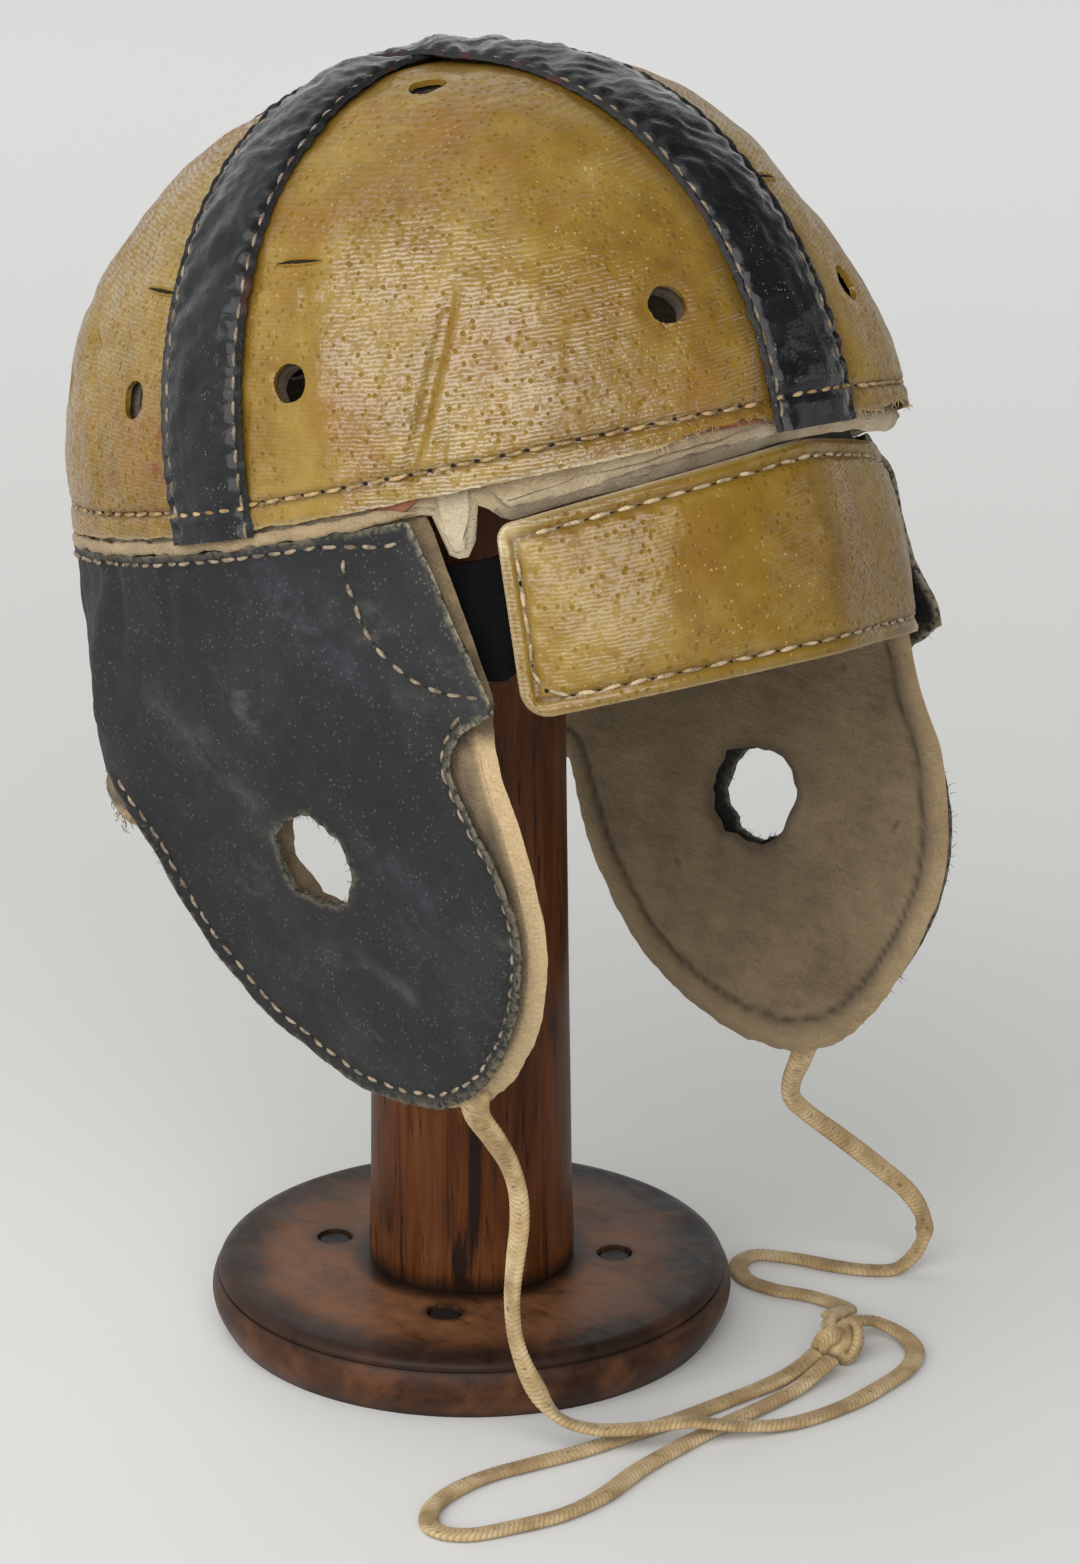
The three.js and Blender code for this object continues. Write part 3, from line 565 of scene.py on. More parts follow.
def curveThrough(points, step):
    fine = []
    for i in range(len(points) - 1):
        a, b, c, d = (Vector(points[clamp(i + k, 0, len(points) - 1)]) for k in (-1, 0, 1, 2))
        pieces = 24
        for j in range(pieces):
            t = j / pieces
            fine.append(0.5 * (2 * b + (c - a) * t + (2 * a - 5 * b + 4 * c - d) * t ** 2
                               + (3 * b - a - 3 * c + d) * t ** 3))
    fine.append(Vector(points[-1]))
    length = sum((b - a).length for a, b in zip(fine, fine[1:]))
    count = max(2, round(length / step))
    even = [fine[0]]
    travelled = 0.0
    for a, b in zip(fine, fine[1:]):
        part = (b - a).length
        while part and len(even) < count and travelled + part >= len(even) * length / count:
            even.append(a.lerp(b, (len(even) * length / count - travelled) / part))
        travelled += part
    if len(even) <= count:
        even.append(fine[-1])
    return even, length


# The broad side lies flat on the floor and turns to the front where the cord hangs
def braidFrames(line, turn):
    frames = []
    for i, point in enumerate(line):
        along = (line[min(i + 1, len(line) - 1)] - line[max(i - 1, 0)]).normalized()
        hang = ease((point.z - 0.008) / 0.02)
        face = Vector((0, 0, 1)).lerp(Vector((-0.75, -0.62, 0.2)), hang)
        twist = math.radians(turn * hang + 46 * uneven(i * 0.009, turn, 0) * (0.25 + 0.75 * hang))
        face = (face - along * face.dot(along)).normalized()
        face = Matrix.Rotation(twist, 3, along) @ face
        frames.append((point, along, face, along.cross(face)))
    return frames


def braidTube(name, frames, settings, closed=False):
    rounds = braid["around"]
    steps = len(frames) - 1
    valleys, flecks = [], []

    def place(across, up):
        i, k = round(up * steps), round(across * rounds) % rounds
        point, _, face, side = frames[i]
        far = i * settings["step"]
        near = ease(1 - far / settings["tabLength"])
        width = (mix(settings["width"], settings["tab"], near) if settings["tab"] else settings["width"]) / 2
        width *= 1 + 0.1 * uneven(far * 0.07, width, 2)
        angle = 2 * math.pi * k / rounds
        x, y = (math.copysign(abs(part) ** 0.8, part) for part in (math.cos(angle), math.sin(angle)))
        plait = math.sin(2 * math.pi * (far / braid["pitch"] + abs(x) * width * 0.55))
        groove = 0.16 * bump(x, 0.26) * (0.5 + 0.5 * uneven(far * 0.05, 7, 1))
        thick = settings["thickness"] / 2 + braid["relief"] * plait * (0.5 + 0.5 * abs(y)) - 2 * groove
        ends = 1 if closed else ease(min(far, steps * settings["step"] - far) + 0.35)
        stretch = ease((uneven(far * 0.045, width, 5) - 0.05) / 0.2)
        spot = uneven(far * 0.9, k * 0.9, 3.1)
        dashes = ease((plait - 0.55) / 0.3) * bump(abs(x) - 0.3, 0.22) * stretch
        # Painted shade in the plait valleys and the centre groove
        valleys.append(clamp(0.5 - 0.5 * plait) * 0.8 + 0.2 * bump(x, 0.2))
        flecks.append(clamp(dashes * ease(0.6 + spot) + ease((spot - 0.52) / 0.12) * 0.7))
        return point + (side * x * (width + 0.04 * plait) + face * y * thick) * ends * mm

    piece = bentGrid(name, rounds, steps, place)
    keepPaint(piece, valley=valleys, fleck=flecks)
    weld(piece)
    closeEnds(piece)
    smooth(piece, 80)
    return piece


# The part of a strand that lies on the floor is let down until its flat side touches it
def makeCord(strand):
    route = [Vector(point) for point in strand["route"]]
    for point in route:
        point.z -= 0.0008 * ease((0.0065 - point.z) / 0.003)
    if strand["tab"]:
        route.insert(0, Vector(strand["tucked"]))
    line, length = curveThrough(route, braid["step"] * mm)
    settings = {**braid, "tab": strand["tab"], "tabLength": strand["tabLength"]}
    piece = braidTube(strand["name"], braidFrames(line, strand["turn"]), settings)
    putOn(piece, finishes["cord"], "cotton_cord", strand["node"])
    print(strand["name"], "length", round(length, 4))
    return piece, line, length


# A tight overhand knot: the same braid along a trefoil, over a rounded core that fills it
def makeKnot():
    centre = Vector(knotShape["centre"])
    turn = Matrix.Rotation(math.radians(knotShape["turn"]), 3, "Z")
    half = [size * mm for size in knotShape["half"]]
    line = []
    count = 190
    for i in range(count + 1):
        t = 2 * math.pi * i / count
        shape = Vector(((math.sin(t) + 2 * math.sin(2 * t)) / 3 * half[0],
                        (math.cos(t) - 2 * math.cos(2 * t)) / 3 * half[1],
                        -math.sin(3 * t) * half[2] * 0.72))
        line.append(centre + turn @ shape)
    frames = []
    for i, point in enumerate(line):
        along = (line[(i + 1) % count] - line[(i - 1) % count]).normalized()
        out = point - centre
        out = (out - along * out.dot(along)).normalized()
        frames.append((point, along, out, along.cross(out)))
    settings = {**braid, "width": knotShape["width"], "thickness": knotShape["thickness"], "tab": 0,
                "tabLength": 1}
    wraps = braidTube("tie_cord_knot_wraps", frames, settings, closed=True)
    clearSelection()
    bpy.ops.mesh.primitive_uv_sphere_add(segments=28, ring_count=16, radius=1, location=(0, 0, 0))
    core = bpy.context.object
    for vertex in core.data.vertices:
        lump = 0.86 + 0.08 * noise.noise(vertex.co * 2)
        vertex.co = centre + turn @ Vector(tuple(c * h * lump for c, h in zip(vertex.co, half)))
    smooth(core, 80)
    joined([wraps, core], wraps.name)
    putOn(wraps, finishes["cord"], "cotton_cord", "tie_cord_knot")
    return wraps


knotPiece = makeKnot()
for strand in (cordRight, cordLeft, cordLoop):
    piece, line, length = makeCord(strand)
    tuple(line[0])
    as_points(line)
print("cords made")


# The helmet's own frame, tipped back and a little aside on the stand

helmetTurn = Euler((math.radians(-16.1), math.radians(4.7), math.radians(1.2)), "XYZ").to_matrix()
helmetMove = Vector((0, -5.8, 222))


def world(point):
    return (helmetTurn @ point + helmetMove) * mm


headMiddle = world(Vector((0, 0, 10)))
skirtMiddle = world(Vector((0, 0, -60)))

crown = {"halfLength": 106, "halfWidth": 88.5, "height": 98, "fullness": 2.19, "plan": 2.15, "rimArch": 3.2,
         "roundAcross": 98, "roundUp": 101}
# around, up, spread around, spread up, depth
dents = [(57, 22, 9, 11, -2.4), (40, 26, 12, 11, 1.2), (50, 52, 16, 10, -1.6), (118, 40, 14, 16, -1.4),
         (-46, 28, 25, 15, -5.2), (-128, 30, 18, 14, -1.6)]


def turnBetween(around, other):
    return (other - around + 180) % 360 - 180


def planShare(x, y):
    return ((abs(x) / crown["halfWidth"]) ** crown["plan"]
            + (abs(y) / crown["halfLength"]) ** crown["plan"]) ** (1 / crown["plan"])


def rimRadius(around):
    return 1 / planShare(math.sin(math.radians(around)), math.cos(math.radians(around)))


def rimArch(around):
    return crown["rimArch"] * math.cos(2 * math.radians(around))


def rimElevation(around, hang=0.0):
    return math.degrees(math.atan2(rimArch(around) - hang, rimRadius(around)))


def crownPoint(direction):
    around = math.degrees(math.atan2(-direction.x, -direction.y))
    up = math.degrees(math.asin(clamp(direction.z, -1, 1)))
    level = planShare(direction.x, direction.y)
    fullness = crown["fullness"]
    reach = (level ** fullness + (abs(direction.z) / crown["height"]) ** fullness) ** (-1 / fullness)
    shrink = math.cos(math.radians(up))
    for dentAround, dentUp, spreadAround, spreadUp, depth in dents:
        aside = turnBetween(dentAround, around) * shrink / spreadAround
        away = aside ** 2 + ((up - dentUp) / spreadUp) ** 2
        if away < 9:
            reach += depth * math.exp(-away)
    return direction * reach


def crownOffset(direction, offset):
    here = crownPoint(direction)
    sideways = Vector((direction.y, -direction.x, 0))
    sideways = sideways.normalized() if sideways.length_squared > 1e-6 else Vector((1, 0, 0))
    upwards = sideways.cross(direction).normalized()
    across = crownPoint((direction + sideways * 0.01).normalized())
    above = crownPoint((direction + upwards * 0.01).normalized())
    normal = (across - here).cross(above - here).normalized()
    if normal.dot(direction) < 0:
        normal.negate()
    return here + normal * offset


def onCrown(around, up, offset):
    return world(crownOffset(heading(around, up), offset))


# Millimetres over the crown from one place to another
def crownAway(around, up, toAround, toUp):
    aside = math.radians(turnBetween(around, toAround)) * math.cos(math.radians((up + toUp) / 2))
    return Vector((aside * crown["roundAcross"], math.radians(toUp - up) * crown["roundUp"]))


def nearLine(around, up, start, end):
    first = crownAway(around, up, *start)
    along = crownAway(around, up, *end) - first
    share = clamp(-first.dot(along) / along.length_squared)
    return first + along * share, share


def keepShares(piece, shares):
    group = piece.vertex_groups.new(name="body")
    for index, share in enumerate(shares):
        group.add([index], share, "REPLACE")


def thicken(piece, thickness, outward=False, shares=None):
    settings = {"thickness": thickness * mm, "offset": 1 if outward else -1}
    if shares:
        keepShares(piece, shares)
    if piece.vertex_groups:
        settings["vertex_group"] = "body"
    modify(piece, "SOLIDIFY", **settings)
    piece.vertex_groups.clear()


# Gives a sheet its thickness, its smooth shading and its material
def finishSheet(piece, centre, thickness, finish, slot, *nodes, degrees=50, outward=False, shares=None):
    faceAwayFrom(piece, centre)
    thicken(piece, thickness, outward, shares)
    smooth(piece, degrees)
    putOn(piece, finishes[finish], slot, *nodes)


# How much of its thickness a soft edge keeps, at a distance in from the edge
def edgeShare(distance, roundness, least):
    short = clamp(1 - distance / roundness)
    return mix(least, 1, math.sqrt(1 - short ** 2))


# Deletes the faces whose middle is unwanted, and lists the points along the open edges
def cutAway(piece, unwanted):
    pickUp(piece)
    bpy.ops.object.mode_set(mode="EDIT")
    bpy.ops.mesh.select_mode(type="FACE")
    bpy.ops.mesh.select_all(action="DESELECT")
    bpy.ops.object.mode_set(mode="OBJECT")
    for face in piece.data.polygons:
        face.select = unwanted(face.center)
    bpy.ops.object.mode_set(mode="EDIT")
    bpy.ops.mesh.delete(type="FACE")
    bpy.ops.object.mode_set(mode="OBJECT")
    uses = {}
    for face in piece.data.polygons:
        for key in face.edge_keys:
            uses[key] = uses.get(key, 0) + 1
    return [index for key, count in uses.items() if count == 1 for index in key]


# Opens round holes in a sheet and draws the cut edge to the true curve. Each hole tells how far
# outside it a point is, and where the point would be on its edge.
def openHoles(piece, holes, reach=1.6):
    vertices = piece.data.vertices
    for index in cutAway(piece, lambda middle: any(hole(middle)[0] < 0 for hole in holes)):
        for hole in holes:
            distance, moved = hole(vertices[index].co)
            if abs(distance) < reach * mm:
                vertices[index].co = moved


def roundHole(centre, axis, radius, unevenness=0.06, seed=0.0):
    first = axis.orthogonal().normalized()
    second = axis.cross(first)

    def measure(point):
        away = point - centre
        if away.length > 3 * radius:
            return 1.0, point
        high = axis * away.dot(axis)
        flat = away - high
        angle = math.atan2(flat.dot(second), flat.dot(first))
        wobble = uneven(math.cos(angle) * 1.3, math.sin(angle) * 1.3, seed)
        here = radius * (1 + unevenness * wobble)
        return flat.length - here, centre + high + flat.normalized() * here

    return measure


# Crown leather in four quarters, with its creases, slits, torn hem and vent holes

crownLeather = {"columns": 147, "rows": 108, "thickness": 1.5, "top": 86, "seam": 0.3, "hemGroove": 5.6}
vents = [(18, 18.5), (72.5, 18), (45, 66)]
ventHole = {"radius": 4.5, "dimple": 0.5}
quarters = [("front_right", 0, -1, -1), ("back_right", 90, -1, 1), ("back_left", 180, 1, 1),
            ("front_left", 270, 1, -1)]
# start, end, width, depth of each fold in the crown leather
creases = [((62, 30), (72, 27), 1.6, -0.4), ((70, 39), (62, 36.5), 1.5, 0.5), ((71, 42), (64, 41), 1.2, -0.35),
           ((99, 9), (104, 5), 1.2, -0.4), ((-60, 24), (-38, 16), 3.5, -0.8), ((-30, 30), (-46, 33), 2.5, -0.5),
           ((58, 46), (42, 52), 4.5, -0.9), ((30, 44), (22, 32), 5, -0.8), ((34, 56), (25, 50), 3.5, 0.6)]
# points along each fold, half width, depth; the leather sinks slowly towards the right and turns up sharply
folds = [([(55.9, 2.0), (53.2, 8), (51.2, 14), (48.8, 20), (46.2, 26)], 3.5, 2.6),
         ([(51, 3), (49, 10)], 1.7, 0.7), ([(39.5, 6), (38, 14), (36, 21)], 2.6, 0.45),
         ([(31, 19), (34, 9)], 2.4, 0.4), ([(-62, 34), (-52, 18)], 3.4, 1.0),
         ([(128, 30), (120, 14)], 3.2, 0.9)]
slits = [((76, 35.5), (66.5, 34.4)), ((109.5, 34.9), (97.8, 33.5)), ((-6, 34), (-14.5, 33.5)),
         ((-101, 31), (-110, 30.5))]
slitShape = {"width": 0.9, "lip": 0.75, "lipHeight": 0.9}


def hemHeight(around, up):
    return math.radians(up - rimElevation(around)) * rimRadius(around)


def foldRelief(around, up, points, width, depth):
    nearest, share = None, 0.0
    for k, (start, end) in enumerate(zip(points, points[1:])):
        away, part = nearLine(around, up, start, end)
        if nearest is None or away.length < nearest.length:
            nearest, share = away, (k + part) / (len(points) - 1)
    full = math.sin(math.pi * clamp(0.08 + 0.84 * share)) ** 0.6
    across = math.copysign(nearest.length, nearest.x) / (width * (0.55 + 0.45 * full))
    if abs(across) > 3:
        return 0.0
    sunk = ease((across + 0.8) / 0.8) * (1 - ease(across / 1.1))
    return depth * full * (0.25 * bump(across - 1.3, 0.4) - sunk)


def panelRelief(around, up):
    spot = heading(around, up) * 100
    rise = 0.55 * noise.noise(spot / 13) + 0.22 * noise.noise(spot / 5) + 0.08 * noise.noise(spot / 2.1)
    rise += 1.3 * noise.noise(spot / 30)
    hem = hemHeight(around, up)
    if hem < 12:
        lift = 0.5 + 0.5 * uneven(around * 0.13, 3, 0)
        rise += -0.85 * bump(hem - crownLeather["hemGroove"], 0.95) + 0.35 * bump(hem - 2.9, 1.6)
        rise += 0.9 * lift * ease(1 - hem / 2.4)
        rise += 0.2 * math.cos(around * 1.93) * bump(hem - crownLeather["hemGroove"], 2.2)
    for start, end, width, depth in creases:
        away, share = nearLine(around, up, start, end)
        if away.length < 4 * width:
            rise += depth * bump(away.length, width) * (0.35 + 0.65 * math.sin(math.pi * share))
    for fold in folds:
        rise += foldRelief(around, up, *fold)
    for start, end in slits:
        away, share = nearLine(around, up, start, end)
        if away.length < 8:
            middle = math.sin(math.pi * clamp(share, 0.02, 0.98)) ** 0.5
            rise += (middle * (0.9 * bump(away.y + 1.0, 1.3) + 0.35 * bump(away.y - 1.2, 1.3))
                     * ease(1.6 - away.length / 4))
    front = 90 * math.floor(around % 360 / 90)
    for ventAround, ventUp in vents:
        away = crownAway(around, up, front + ventAround, ventUp).length
        rise -= ventHole["dimple"] * bump(away - ventHole["radius"], 1.5)
    return rise


def hemTear(around):
    tear = 2.3 * ease((25 - around) / 8) * ease((around - 5) / 3) + 0.8 * bump(turnBetween(11, around), 1.4)
    tear += 1.8 * bump(turnBetween(-88, around), 3) + 1.6 * bump(turnBetween(-23, around), 5)
    return tear + 0.5 * uneven(around * 0.21, 0, 0) + 0.35 * uneven(around * 0.9, 9, 0)


# Painted shade: darker in the hem groove, along the bottom edge and beside the straps
def crownShade(around, up):
    dark = 0.8 * bump(hemHeight(around, up) - crownLeather["hemGroove"], 1.0)
    if hemHeight(around, up) < 1:
        dark = max(dark, 0.4)
    side = abs(turnBetween(round(around / 90) * 90, around)) * math.cos(math.radians(up)) * 1.7
    return clamp(max(dark, 0.5 * ease((17 - side) / 4)))


# A place on a crown quarter, whose leather is set back a little from the seams under the straps
def onPanel(x, y, around, up, lift=0.0):
    point = crownOffset(heading(around, up), panelRelief(around, up) + lift)
    return world(point + Vector((x, y, 0)) * crownLeather["seam"])


def makePanel(name, front, x, y):
    shadeAndDirt, scuffs, rims, grains = [], [], [], []

    def place(across, up):
        around = front + 90 * (1 - across)
        low = rimElevation(around, -hemTear(around))
        elevation = mix(low, crownLeather["top"], mix(up, up * up, 0.35))
        shadeAndDirt.append(crownShade(around, elevation))
        scuff = bump(crownAway(around, elevation, 101, 8).length, 4)
        scuff += 0.7 * bump(crownAway(around, elevation, 100, 13).length, 4)
        scuffs.append(clamp(scuff * (0.45 + 1.5 * noise.noise(heading(around, elevation) * 55))))
        crazed = ease((around + 2) / 10) * ease((71 - around) / 7) * ease((53 - elevation) / 16)
        smoothed = 0.72 if around > 90 else mix(0.42, 0.66, ease((around - 72) / 10))
        if front == 270:
            smoothed = 0.34
        grains.append(max(smoothed, crazed))
        rims.append(0.55 * ease(1 - hemHeight(around, elevation) / 1.3)
                    * (0.5 + 0.5 * ease((30 - abs(around - 12)) / 12)))
        return onPanel(x, y, around, elevation)

    node = "crown_panel_" + name
    piece = bentGrid(node + "_leather", crownLeather["columns"], crownLeather["rows"], place)
    keepPaint(piece, grime=shadeAndDirt, redScuff=scuffs, pale=rims, grain=grains)
    openHoles(piece, ventsOf(front, ventHole["radius"]))
    finishSheet(piece, headMiddle, crownLeather["thickness"], "mustard", "mustard_leather", node)


def ventsOf(front, radius):
    holes = []
    for ventAround, ventUp in vents:
        direction = heading(front + ventAround, ventUp)
        centre = world(crownOffset(direction, 0))
        axis = (helmetTurn @ direction).normalized()
        holes.append(roundHole(centre, axis, radius * mm, 0.1, front + ventAround))
    return holes


# Short cuts in the leather: a dark lens of painted shade stands for each opening, with a paler raised lip on
# either side
def makeSlits():
    openings, lips = [], []
    for number, (start, end) in enumerate(slits):
        _, _, x, y = next(q for q in quarters if turnBetween(q[1], start[0]) % 360 < 90)

        def along(share, aside, lift):
            up = mix(start[1], end[1], share) + math.degrees(aside / crown["roundUp"])
            return onPanel(x, y, mix(start[0], end[0], share), up, lift)

        def lens(share):
            return slitShape["width"] * math.sin(math.pi * clamp(share, 0.001, 0.999)) ** 0.7

        # The dark lens is painted shade standing for the open cut
        openings.append(bentGrid("slit", 24, 4, lambda u, v: along(u, lens(u) * (v - 0.5), 0.08)))
        for side in (-1, 1):
            def lip(u, v):
                angle = math.pi * v
                thick = slitShape["lip"] * (0.35 + 0.65 * math.sin(math.pi * clamp(u, 0.02, 0.98)) ** 0.5)
                middle = side * (lens(u) / 2 + 0.45 * thick) + 0.12 * uneven(u * 9, side, number)
                tall = slitShape["lipHeight"] * (0.7 if side > 0 else 1) * thick
                return along(u, middle + 0.5 * thick * math.cos(angle), tall * math.sin(angle) - 0.05)

            lips.append(bentGrid("lip", 24, 5, lip))
    for pieces, name, finish in ((openings, "crown_slit_openings", "slit"),
                                 (lips, "crown_slit_lips", "mustard")):
        for piece in pieces:
            faceAwayFrom(piece, headMiddle)
        joined(pieces, name)
        thicken(pieces[0], 0.3)
        smooth(pieces[0], 60)
        putOn(pieces[0], finishes[finish], "mustard_leather")


for quarter in quarters:
    makePanel(*quarter)
makeSlits()
print("crown leather made")


# The felt bowl inside the crown, and the fibre band between felt and leather

brow = {"arc": 1.74, "half": 77.5, "top": 4.4, "endTop": 9.7, "bottom": 53, "lean": 0.06, "pull": 5.6,
        "edge": -3.5, "dome": 2.5, "roundness": 0.7, "leather": 1.5, "filling": 4, "corner": 7, "end": 14,
        "inset": 0.6, "columns": 170, "rows": 62, "row": 3.6}


def browTop(u):
    return mix(brow["top"], brow["endTop"], abs(u) / brow["half"])


crownFelt = {"columns": 268, "rows": 70, "inside": -6.5, "thickness": 3, "hang": 3.8, "round": 1.7,
             "roll": 1.8, "tabAt": 50.6, "bulgeAt": -22}
fibreBand = {"columns": 240, "rows": 9, "outside": -1.9, "thickness": 0.9, "hang": -1.5, "top": 8.6,
             "slipAt": 58.5}


def makeCrownFelt():
    shares, shadeAndDirt, pale = [], [], []

    def place(across, up):
        around = -360 * across
        wave = 1.1 * noise.noise(heading(around, 0) * 5) + 0.5 * noise.noise(heading(around, 0) * 17)
        tab = 10 * ease((3.4 - abs(turnBetween(crownFelt["tabAt"], around))) / 1.8) * (1 + 0.6 * wave)
        bulge = 1.6 * bump(turnBetween(crownFelt["bulgeAt"], around), 7)
        turn = turnBetween(0, around)
        rests = ease((turn + 2) / 9) * ease((47 - turn) / 4)
        hang = mix(crownFelt["hang"] + 1.1 * wave, browTop(turn * brow["arc"]) - 0.6 + 0.5 * wave, rests)
        low = rimElevation(around, hang + tab + bulge)
        elevation = mix(low, 90, mix(up, up * up, 0.72))
        spot = heading(around, elevation) * 100
        lumps = 0.3 * noise.noise(spot / 8) + 0.13 * noise.noise(spot / 2.6)
        depth = math.radians(elevation - low) * 100
        keep = edgeShare(depth, crownFelt["round"], 0.35)
        shares.append(keep)
        inward = crownFelt["thickness"] * (1 - keep) / 2
        rolled = crownFelt["roll"] + 1.2 * bump(turnBetween(crownFelt["bulgeAt"], around), 7)
        outward = rolled * ease(1 - (depth - 1.5) / 3) * (1 - ease(tab / 3)) * (1 - 0.8 * rests)
        seams = bump(depth - 2.4 - 0.7 * wave, 0.5) + 0.8 * bump(depth - 5 + 0.6 * wave, 0.45)
        outward -= 0.8 * rests * seams
        # Painted shade: darker inside the bowl beyond the rim, dark lines in the seams and a dark strip at the
        # gap above the brow band; the noise adds stains
        inside = 0.92 * ease((depth - 4 - tab - 5.5 * rests) / 2.5) + 0.35 * clamp(noise.noise(spot / 4))
        shadeAndDirt.append(inside + rests * (seams + 0.6 * ease((2.4 + 0.7 * wave - depth) / 0.4)))
        pale.append(clamp(0.8 * ease(tab / 3) + 0.7 * ease(1 - depth / 9) * (0.6 + noise.noise(spot / 6))))
        return onCrown(around, elevation, crownFelt["inside"] + inward + lumps + outward)

    piece = bentGrid("crown_felt_bowl", crownFelt["columns"], crownFelt["rows"], place)
    keepShares(piece, shares)
    keepPaint(piece, grime=[clamp(value) for value in shadeAndDirt], pale=pale)
    weld(piece)
    holes = [ventsOf(front, ventHole["radius"] + 0.4) for _, front, _, _ in quarters]
    openHoles(piece, sum(holes, []))
    finishSheet(piece, headMiddle, crownFelt["thickness"], "creamFelt", "cream_felt",
                *["crown_felt_" + name for name, _, _, _ in quarters], degrees=80, outward=True)


def makeFibreBand():
    def place(across, up):
        around = -360 * across
        slip = 4.6 * bump(turnBetween(fibreBand["slipAt"], around), 3.6)
        low = rimElevation(around, fibreBand["hang"] + slip + 0.3 * noise.noise(heading(around, 0) * 8))
        outside = fibreBand["outside"] + 0.9 * bump(turnBetween(fibreBand["slipAt"], around), 5) * (1 - up)
        return onCrown(around, mix(low, fibreBand["top"], up), outside)

    piece = bentGrid("crown_fibre_band", fibreBand["columns"], fibreBand["rows"], place)
    weld(piece)
    finishSheet(piece, headMiddle, fibreBand["thickness"], "fibre", "red_fibre", "crown_stiffener")


makeCrownFelt()
makeFibreBand()
print("crown felt made")


# The two puffed straps over the crown

strap = {"half": 13, "leather": 1.4, "lift": 0.5, "puff": 1.4, "hang": 1.5, "crossing": 1.1, "ramp": 10,
         "columns": 42, "rows": 400, "row": 11.2, "pitch": 5.7, "stitch": 4.0, "crossRow": 7.2,
         "length": math.pi * 100}
# turn from front to back, and whether it lies on top
straps = {"strap_front_back": (0, True), "strap_side_to_side": (90, False)}


def strapPlace(turn, over, swingShare, side, extra=0.0):
    start = rimElevation(turn, strap["hang"])
    swing = math.radians(mix(start, 180 - start, swingShare))
    spin = Matrix.Rotation(math.radians(turn), 3, "Z")
    centre = spin @ Vector((0, -math.cos(swing), math.sin(swing)))
    across = spin @ Vector((1, 0, 0))
    reach = crownPoint(centre).length
    nearTop = ease((strap["half"] + strap["ramp"] - reach * abs(math.cos(swing))) / strap["ramp"])
    puff = strap["puff"] * (1 - (side / strap["half"]) ** 2) * (1 if over else 1 - nearTop)
    lift = strap["lift"] + strap["leather"] + puff + (strap["crossing"] * nearTop if over else 0)
    lift += strapRelief(turn, swingShare * strap["length"], side)
    direction = (centre + across * (side / reach)).normalized()
    return world(crownOffset(direction, lift + extra))


def strapRelief(turn, length, side):
    edge = abs(side)
    middle = ease((11 - edge) / 4)
    rise = 0.4 * bump(edge - 12.4, 0.6) - 0.95 * bump(edge - strap["row"], 0.85)
    rise -= 0.9 * ease((edge - 12.5) / 0.5)
    pinch = math.cos(2 * math.pi * length / strap["pitch"])
    rise += 0.3 * pinch * bump(edge - 9.6, 1.5) + 0.16 * pinch * bump(edge - 12.4, 0.8)
    worn = 0.4 + 1.0 * math.sin(math.pi * length / strap["length"]) ** 2
    fold = uneven(side * 0.07 + length * 0.03, length * 0.11 - side * 0.09, turn)
    wrinkle = uneven(side * 0.1 - length * 0.045, length * 0.24 + side * 0.11, turn + 5)
    sharp = uneven(side * 0.16 + length * 0.07, length * 0.42 - side * 0.2, turn + 14)
    crinkle = uneven(side * 0.5, length * 0.7, turn + 9)
    rib = uneven(side * 0.34, length * 0.035, turn + 21)
    fromEnd = min(length, strap["length"] - length)
    rise -= 0.8 * bump(fromEnd - strap["crossRow"], 1.0) * ease((12.5 - edge) / 2)
    folded = 1.2 * fold + 0.85 * (0.3 - abs(wrinkle)) + 0.25 * (0.25 - abs(sharp)) + 0.05 * crinkle
    return rise + middle * (worn * folded + 0.2 * rib)


def makeStrap(name, turn, over):
    wear, edges, glints = [], [], []

    def place(across, up):
        side = mix(-strap["half"], strap["half"], across)
        length = up * strap["length"]
        ridge = strapRelief(turn, length, side)
        top = math.sin(math.pi * up) ** 3
        hem = min(up, 1 - up) * strap["length"]
        rubbed = 0.6 * ease((ridge - 0.3) / 0.45) * top * ease((9.5 - abs(side)) / 1.5)
        wear.append(clamp(rubbed + 0.12 * ease((abs(side) - 12.3) / 0.5)))
        edges.append(ease((abs(side) - 11.8) / 0.5))
        # Where the painted glints go: near the strap ends
        glints.append(ease(1 - (hem - 28) / 30))
        scallop = 0.2 * math.cos(2 * math.pi * length / strap["pitch"])
        scallop += 0.5 * uneven(length * 0.06, turn, side * 0.05)
        return strapPlace(turn, over, up, side + math.copysign(scallop, side) * ease((abs(side) - 10) / 2))

    piece = bentGrid(name + "_leather", strap["columns"], strap["rows"], place)
    keepPaint(piece, wear=wear, edge=edges, glint=glints)
    finishSheet(piece, headMiddle, strap["leather"], "black", "black_leather", name, degrees=60)


for name, (turn, over) in straps.items():
    makeStrap(name, turn, over)
print("straps made")


# The padded brow band. u runs round from the middle of the brow, positive to the wearer's right.

browBack = {"outside": -6.9, "thickness": 1, "tab": 8, "tabHalf": 30, "tabSlope": 14, "tabLean": 0.2,
            "columns": 70, "rows": 26}


def onBrow(u, drop, offset):
    around = u / brow["arc"]
    pull = brow["pull"] * ease((6 - u) / 34) * (1 - 0.5 * ease((-u - 55) / 22))
    reach = rimRadius(around) + offset + brow["lean"] * drop - pull
    turn = math.radians(around)
    return world(Vector((-math.sin(turn) * reach, -math.cos(turn) * reach, rimArch(around) - drop)))


